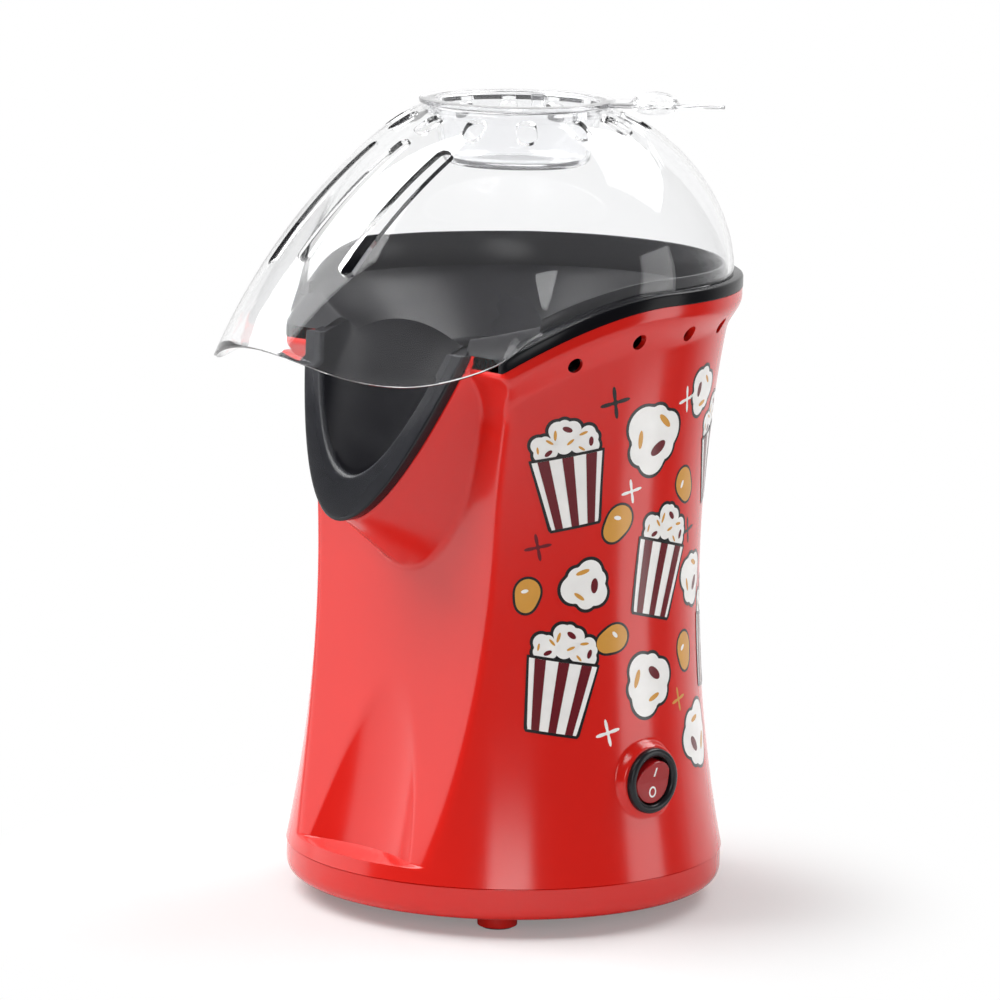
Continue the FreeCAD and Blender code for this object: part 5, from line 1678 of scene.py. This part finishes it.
@dataclass
class SidePrint:
    """Generic printed motifs on the barrel's sides: puffs, kernels, striped tubs and sparks."""

    barrel: Barrel
    layers: dict[str, list[Solid]] = field(default_factory=dict)
    lift: float = 0.05
    ink_step: float = 0.03
    stripe_layer: int = 8
    spark_turn: float = 12.0
    lobes: ClassVar[tuple[Pair, ...]] = (
        (0, 0.52), (64, 0.4), (118, 0.56), (196, 0.42), (248, 0.5), (310, 0.38))
    heap: ClassVar[tuple[tuple[float, float, float, float], ...]] = (
        (-0.42, 0.78, 0.3, 20), (0.4, 0.8, 0.32, 70), (0.0, 1.0, 0.36, 140))
    tubs: ClassVar[tuple[tuple[float, float, float, float], ...]] = (
        (64.0, 158.0, 17.5, 9.0), (97.0, 124.0, 18.0, -14.0), (62.0, 86.0, 17.5, -10.0),
        (131.0, 160.0, 17.5, 12.0), (134.0, 92.0, 17.5, -8.0))
    puffs: ClassVar[tuple[tuple[float, float, float, float], ...]] = (
        (91.0, 172.0, 13.0, 20.0), (70.0, 122.0, 9.0, 75.0), (93.0, 85.5, 11.5, 130.0),
        (118.0, 118.0, 10.0, 40.0), (150.0, 128.0, 12.0, 10.0), (113.0, 186.0, 9.0, 250.0),
        (118.0, 62.0, 12.0, 300.0), (152.0, 62.0, 10.0, 200.0))
    kernels: ClassVar[tuple[tuple[float, float, float, float], ...]] = (
        (79.0, 142.0, 7.5, 55.0), (109.0, 152.0, 7.5, 130.0), (78.0, 102.0, 7.0, 20.0),
        (112.0, 92.0, 7.5, 100.0), (52.0, 118.0, 6.5, 80.0), (148.0, 184.0, 7.5, 30.0))
    sparks: ClassVar[tuple[tuple[float, float, float, Finish], ...]] = (
        (76.0, 186.0, 6.0, INK_BLACK), (84.0, 154.0, 4.5, INK_WHITE), (55.0, 136.0, 5.0, INK_MAROON),
        (104.0, 184.0, 5.0, INK_WHITE), (113.0, 136.0, 5.0, INK_BLACK), (77.0, 70.0, 5.0, INK_WHITE),
        (148.0, 106.0, 5.5, INK_MAROON), (107.0, 77.0, 4.5, INK_OCHRE))

    def _reach(self, spot: Pair) -> float:
        """Distance of the barrel's outside from the axis at (degrees from the front, height)."""
        return float(self.barrel.radius(np.array([math.radians(spot[0])]), np.array([spot[1]]))[0])

    def patch(self, ink: Finish, outline: Outline, centre: Pair, turn: float,
              layer: int, rings: int = 7, steps: int = 60) -> None:
        """One star-shaped patch that lies on the barrel.

        Args:
            ink: the patch's ink.
            outline: its reach in millimetres at an angle.
            centre: (degrees from the front, height) of its middle.
            turn: its turn in degrees.
            layer: its place in the stack of inks.
            rings: rings of corners between middle and outline.
            steps: corners round it.
        """
        spots = [(0.0, 0.0)]
        for ring in range(1, rings + 1):
            for angle in even_turns(steps):
                reach, way = outline(angle) * ring / rings, angle + math.radians(turn)
                spots.append((reach * math.cos(way), reach * math.sin(way)))
        flat = np.array(spots)
        heights = centre[1] + flat[:, 1]
        angles = math.radians(centre[0]) + flat[:, 0] / self._reach(centre)
        reach = self.barrel.radius(angles, heights) + self.lift + self.ink_step * layer
        points = np.stack((reach * np.sin(angles), -reach * np.cos(angles), heights), -1)
        self.layers.setdefault(ink.name, []).append((points, disc_faces(rings, steps)))

    def puff(self, centre: Pair, size: float, turn: float) -> None:
        """A popped kernel with an outline, buttery folds and a scrap of hull.

        Args:
            centre: (degrees from the front, height) of its middle.
            size: its size in millimetres.
            turn: its turn in degrees.
        """
        lobes = [(0.5 * math.cos(math.radians(a)), 0.5 * math.sin(math.radians(a)), r) for a, r in self.lobes]

        def cloud(grow: float) -> Outline:
            """The puff's outline, grown by a margin.

            Args:
                grow: the margin.

            Returns:
                The outline.
            """

            def reach(angle: float) -> float:
                """Reach to the outermost lobe.

                Args:
                    angle: angle from the motif's own side, in radians.

                Returns:
                    The reach in millimetres.
                """
                best = 0.5
                for x, y, r in lobes:
                    along = x * math.cos(angle) + y * math.sin(angle)
                    off = x * x + y * y - along * along
                    if off < r * r:
                        best = max(best, along + math.sqrt(r * r - off))
                return best * size + grow

            return reach

        self.patch(INK_BLACK, cloud(1.2), centre, turn, 0)
        self.patch(INK_WHITE, cloud(0.0), centre, turn, 1)
        for angle, reach, part in ((32, 0.56, 0.3), (160, 0.5, 0.26)):
            self.blot(INK_OCHRE, centre, size * reach, angle + turn, size * part, 2, 0.3)
        self.blot(INK_MAROON, centre, size * 0.34, 282 + turn, size * 0.3, 3, 0.5)

    def blot(self, ink: Finish, centre: Pair, away: float, angle: float, size: float, layer: int,
             squeeze: float) -> None:
        """An oval patch at a distance from a motif's middle.

        Args:
            ink: its ink.
            centre: (degrees from the front, height) of its middle.
            away: distance from the motif's middle.
            angle: direction from the motif's middle, in degrees.
            size: its size in millimetres.
            layer: its place in the stack of inks.
            squeeze: its width over its length.
        """
        spot = self._moved(centre, away, 0.0, angle)

        def oval(turn: float) -> float:
            """Reach of an oval."""
            return size / math.hypot(math.cos(turn), math.sin(turn) / squeeze)

        self.patch(ink, oval, spot, angle + 90.0, layer, 4, 32)

    def kernel(self, centre: Pair, size: float, turn: float) -> None:
        """An unpopped kernel.

        Args:
            centre: (degrees from the front, height) of its middle.
            size: its size in millimetres.
            turn: its turn in degrees.
        """

        def drop(grow: float) -> Outline:
            """The kernel's outline, grown by a margin."""
            return lambda angle: size * (0.62 + 0.3 * math.cos(angle) ** 2 + 0.16 * math.cos(angle)) + grow

        self.patch(INK_BLACK, drop(0.9), centre, turn, 0)
        self.patch(INK_OCHRE, drop(0.0), centre, turn, 1)
        self.blot(INK_WHITE, centre, size * 0.42, turn + 24.0, size * 0.2, 2, 0.5)

    def spark(self, centre: Pair, size: float, turn: float, ink: Finish) -> None:
        """A four-pointed spark.

        Args:
            centre: (degrees from the front, height) of its middle.
            size: its size in millimetres.
            turn: its turn in degrees.
            ink: its ink.
        """

        def points(angle: float) -> float:
            """Reach of four narrow points."""
            return size * (0.18 + 0.82 * abs(math.cos(2 * angle)) ** 7)

        self.patch(ink, points, centre, turn, 0, 5, 64)

    def tub(self, centre: Pair, size: float, turn: float) -> None:
        """A striped tub with puffs over its edge.

        Args:
            centre: (degrees from the front, height) of its middle.
            size: its size in millimetres.
            turn: its turn in degrees.
        """

        def block(low: Pair, high: Pair, grow: float) -> Outline:
            """The tub's outline between its bottom and top edges, grown by a margin.

            Args:
                low: half width and height of the bottom edge.
                high: half width and height of the top edge.
                grow: the margin.

            Returns:
                The outline.
            """
            corners = [Vector((-low[0] - grow, low[1] - grow)), Vector((low[0] + grow, low[1] - grow)),
                       Vector((high[0] + grow, high[1] + grow)), Vector((-high[0] - grow, high[1] + grow))]

            def reach(angle: float) -> float:
                """Reach to the nearest edge that lies ahead.

                Args:
                    angle: angle from the motif's own side, in radians.

                Returns:
                    The reach in millimetres.
                """
                way = Vector((math.cos(angle), math.sin(angle)))
                best = 1e9
                for a, b in zip(corners, corners[1:] + corners[:1]):
                    edge = b - a
                    bottom = way.x * edge.y - way.y * edge.x
                    if abs(bottom) > 1e-9:
                        along = (a.x * edge.y - a.y * edge.x) / bottom
                        if along > 0:
                            best = min(best, along)
                return best

            return reach

        for across, up, grow, tilt in self.heap:
            spot = self._moved(centre, size * across, size * up, turn)
            self.puff(spot, size * grow, tilt + turn)
        shape = ((size * 0.5, -size * 0.85), (size * 0.72, size * 0.55))
        self.patch(INK_BLACK, block(*shape, 1.0), centre, turn, 4, 9, 96)
        self.patch(INK_WHITE, block(*shape, 0.0), centre, turn, 5, 9, 96)
        for item in (-1, 0, 1):
            self._stripe(centre, size, turn, item)

    def _stripe(self, centre: Pair, size: float, turn: float, item: int) -> None:
        """One dark stripe of a tub, wider at its top.

        Args:
            centre: (degrees from the front, height) of the tub's middle.
            size: the tub's size in millimetres.
            turn: the tub's turn in degrees.
            item: its place, -1 to 1 across the tub.
        """
        rows = 12
        flat = []
        for row in range(rows + 1):
            up = -size * 0.85 + size * 1.4 * row / rows
            half = size * (0.5 + 0.22 * row / rows)
            for side in (-1.0, -0.33, 0.33, 1.0):
                flat.append((half * (item * 0.68 + side * 0.16), up))
        points = []
        for across, up in flat:
            spot = self._moved(centre, across, up, turn)
            angle = math.radians(spot[0])
            reach = self._reach(spot) + self.lift + self.ink_step * self.stripe_layer
            points.append((reach * math.sin(angle), -reach * math.cos(angle), spot[1]))
        self.layers.setdefault(INK_MAROON.name, []).append((np.array(points), grid_faces(rows + 1, 4)))

    def _moved(self, centre: Pair, across: float, up: float, turn: float) -> Pair:
        """A place beside a motif's middle, turned with it.

        Args:
            centre: (degrees from the front, height) of the motif's middle.
            across: distance to the side.
            up: distance upwards.
            turn: the motif's turn in degrees.

        Returns:
            The place as (degrees from the front, height).
        """
        angle = math.radians(turn)
        side = across * math.cos(angle) - up * math.sin(angle)
        rise = across * math.sin(angle) + up * math.cos(angle)
        return centre[0] + math.degrees(side / self._reach(centre)), centre[1] + rise

    def build(self) -> list[tuple[bpy.types.Object, Finish]]:
        """All motifs, one piece for each ink.

        Returns:
            Pairs of a piece and its ink.
        """
        for side in (1, -1):
            for degrees, height, size, turn in self.tubs:
                self.tub((side * degrees, height), size, side * turn)
            for degrees, height, size, turn in self.puffs:
                self.puff((side * degrees, height), size, turn)
            for degrees, height, size, turn in self.kernels:
                self.kernel((side * degrees, height), size, turn)
            for degrees, height, size, ink in self.sparks:
                self.spark((side * degrees, height), size, self.spark_turn, ink)
        pieces = []
        for ink in (INK_BLACK, INK_WHITE, INK_OCHRE, INK_MAROON):
            piece = joined("print_" + ink.name.split("_")[1], self.layers[ink.name])
            pieces.append((piece, ink))
        return pieces


@dataclass(frozen=True)
class SoftBox:
    """A rectangular lamp, in metres and watts, that faces a height on the upright axis."""

    name: str
    spot: Place
    aim_height: float
    width: float
    height: float
    power: float

    def build(self) -> None:
        """Set up the lamp."""
        data = bpy.data.lights.new(self.name, "AREA")
        data.shape = "RECTANGLE"
        data.size, data.size_y = self.width, self.height
        data.energy = self.power
        lamp = bpy.data.objects.new(self.name, data)
        lamp.location = self.spot
        way = Vector((0.0, 0.0, self.aim_height)) - Vector(self.spot)
        lamp.rotation_euler = way.to_track_quat("-Z", "Y").to_euler()
        bpy.context.scene.collection.objects.link(lamp)


@dataclass
class Studio:
    """Camera, floor, surround and soft lamps."""

    camera_spot: Place = (1.42197, -1.32197, 0.48344)
    aim: Place = (0.0, 0.0207, 0.143)
    lens: float = 201.75
    sensor: float = 36.0
    roll: float = 1.075
    shift: Pair = (-0.010, -0.0068)
    floor_radius: float = 0.55
    floor_sides: int = 96
    floor_shades: Pair = (0.7, 0.72)
    floor_roughness: float = 0.7
    floor_grain: float = 2.0
    glow_from: Pair = (0.10, 0.19)
    glow_share: Pair = (0.22, 1.0)
    pale_way: Place = (-0.72, 0.69, 0.1)
    pale_from: Pair = (0.25, 0.8)
    pale_share: Pair = (0.06, 1.0)
    ambient: float = 0.22
    lamps: ClassVar[tuple[SoftBox, ...]] = (
        SoftBox("key_box", (-1.0, -0.85, 2.0), 0.12, 2.0, 2.0, 80.0),
        SoftBox("low_box", (-1.2, -1.05, 0.1), 0.1, 1.3, 0.7, 4.6),
        SoftBox("fill_box", (2.3, -1.9, 0.9), 0.12, 1.2, 1.2, 23.0),
        SoftBox("side_box", (1.6, 1.2, 0.15), 0.12, 0.8, 1.4, 10.0),
        SoftBox("back_box", (0.2, 1.2, 1.6), 0.12, 1.4, 1.0, 22.0))

    def build(self) -> None:
        """Set up the whole studio."""
        scene = bpy.context.scene
        scene.view_settings.view_transform = "Standard"
        self._camera(scene)
        self._floor(scene)
        self._world(scene)
        for lamp in self.lamps:
            lamp.build()

    def _camera(self, scene: bpy.types.Scene) -> None:
        """Set up the photograph's camera.

        Args:
            scene: the scene.
        """
        data = bpy.data.cameras.new("camera")
        data.lens = self.lens
        data.sensor_width = self.sensor
        data.shift_x, data.shift_y = self.shift
        camera = bpy.data.objects.new("camera", data)
        look = (Vector(self.aim) - Vector(self.camera_spot)).to_track_quat("-Z", "Y").to_matrix().to_4x4()
        camera.matrix_world = (Matrix.Translation(self.camera_spot) @ look
                               @ Matrix.Rotation(math.radians(self.roll), 4, "Z"))
        scene.collection.objects.link(camera)
        scene.camera = camera

    def _floor(self, scene: bpy.types.Scene) -> None:
        """Lay a pale floor that shows white where it is unshaded.

        Args:
            scene: the scene.
        """
        mesh = bpy.data.meshes.new("floor")
        corners = [(self.floor_radius * math.cos(turn), self.floor_radius * math.sin(turn), 0)
                   for turn in even_turns(self.floor_sides)]
        mesh.from_pydata(corners, [], [range(self.floor_sides)])
        floor = bpy.data.objects.new("floor", mesh)
        scene.collection.objects.link(floor)
        graph = Graph(bpy.data.materials.new("floor"))
        dull, bright = ((shade, shade, shade) for shade in self.floor_shades)
        lit = graph.node("ShaderNodeBsdfPrincipled", None, {
            "Base Color": graph.mixed(graph.noise(self.floor_grain), dull, bright),
            "Roughness": self.floor_roughness}, "BSDF")
        glow = graph.node("ShaderNodeEmission", None, {"Color": (1, 1, 1, 1), "Strength": 1.0}, "Emission")
        where = graph.node("ShaderNodeTexCoord", output="Object")
        away = graph.node("ShaderNodeVectorMath", {"operation": "LENGTH"}, {0: where}, "Value")
        far = graph.eased(away, self.glow_from, self.glow_share)
        seen = graph.ray("Camera").maximum(graph.ray("Transmission"))
        floor.data.materials.append(graph.close(graph.blend(seen * far, lit, glow)))

    def _world(self, scene: bpy.types.Scene) -> None:
        """Surround the scene with a white that is seen, and mirrored where it lies behind the object.

        Args:
            scene: the scene.
        """
        graph = Graph(bpy.data.worlds.new("surround"))
        way = graph.node("ShaderNodeTexCoord", output="Generated")
        behind = graph.node("ShaderNodeVectorMath", {"operation": "DOT_PRODUCT"},
                            {0: way, 1: self.pale_way}, "Value")
        pale = graph.eased(behind, self.pale_from, self.pale_share)
        soft = graph.node("ShaderNodeBackground", None, {"Strength": self.ambient}, "Background")
        white = graph.node("ShaderNodeBackground", None,
                           {"Color": (1, 1, 1, 1), "Strength": 1.0}, "Background")
        dark = graph.node("ShaderNodeBackground", None, {"Strength": 0.0}, "Background")
        lit = graph.blend(graph.ray("Glossy"), soft, graph.blend(pale, dark, white))
        seen = graph.ray("Camera").maximum(graph.ray("Transmission"))
        scene.world = graph.close(graph.blend(seen, lit, white))


def settle(piece: bpy.types.Object, body: Body, finish: Finish, slot: str, *nodes: str) -> None:
    """Dress a piece, ride it on its body and let it stand for CAD nodes.

    Args:
        piece: the piece.
        body: the body that it moves with.
        finish: its finish.
        slot: the record's material slot; not used.
        nodes: CAD nodes that it replaces.
    """
    finish.dress(piece)
    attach(piece, body.value)
    if nodes:
        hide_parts(*nodes)
    log.info("%s: %d faces on %s", piece.name, len(piece.data.polygons), body.value)


def dress_works() -> None:
    """Give every CAD node the finish of its slot."""
    for part in frame["record"]["subparts"]:
        SLOT_FINISHES[part["material_slot"]].dress(frame["nodes"][part["node"]])


def main() -> None:
    """Build all sub-assemblies, the print and the studio."""
    logging.basicConfig(level=logging.INFO, format="%(message)s")
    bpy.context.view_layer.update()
    dress_works()
    barrel = Barrel()
    settle(barrel.build(), Body.HOUSING, RED, "red_plastic", "body_shell")
    base = BasePlate()
    settle(base.build(), Body.HOUSING, RED, "red_plastic", "base_plate")
    settle(base.posts(), Body.HOUSING, RED, "red_plastic")
    insert = ChuteInsert()
    settle(insert.build(), Body.HOUSING, BLACK_GLOSS, "black_plastic", "chute")
    # The slide wears the darker copy of the black plastic, which is painted shade.
    settle(insert.slide(), Body.HOUSING, BLACK_SLIDE_PAINTED_SHADE, "black_plastic")
    settle(insert.flange(), Body.HOUSING, BLACK, "black_plastic")
    settle(Hood().build(), Body.COVER, CLEAR, "clear_plastic", "dome")
    cup = MeasuringCup()
    settle(cup.build(), Body.CUP, CLEAR_CUP, "clear_plastic", "measuring_cup")
    settle(cup.tab(), Body.CUP, CLEAR_CUP, "clear_plastic")
    settle(cup.lugs(), Body.CUP, CLEAR_CUP, "clear_plastic")
    switch = RockerSwitch()
    settle(switch.housing(), Body.HOUSING, BLACK, "black_plastic", "switch_housing")
    settle(switch.lever(), Body.ROCKER, ROCKER_RED, "rocker_red", "switch_rocker")
    for mark in switch.marks():
        settle(mark, Body.ROCKER, MARK_WHITE, "rocker_red")
    for piece, ink in SidePrint(barrel).build():
        settle(piece, Body.HOUSING, ink, "red_plastic")
    Studio().build()


if __name__ == "__main__":
    main()
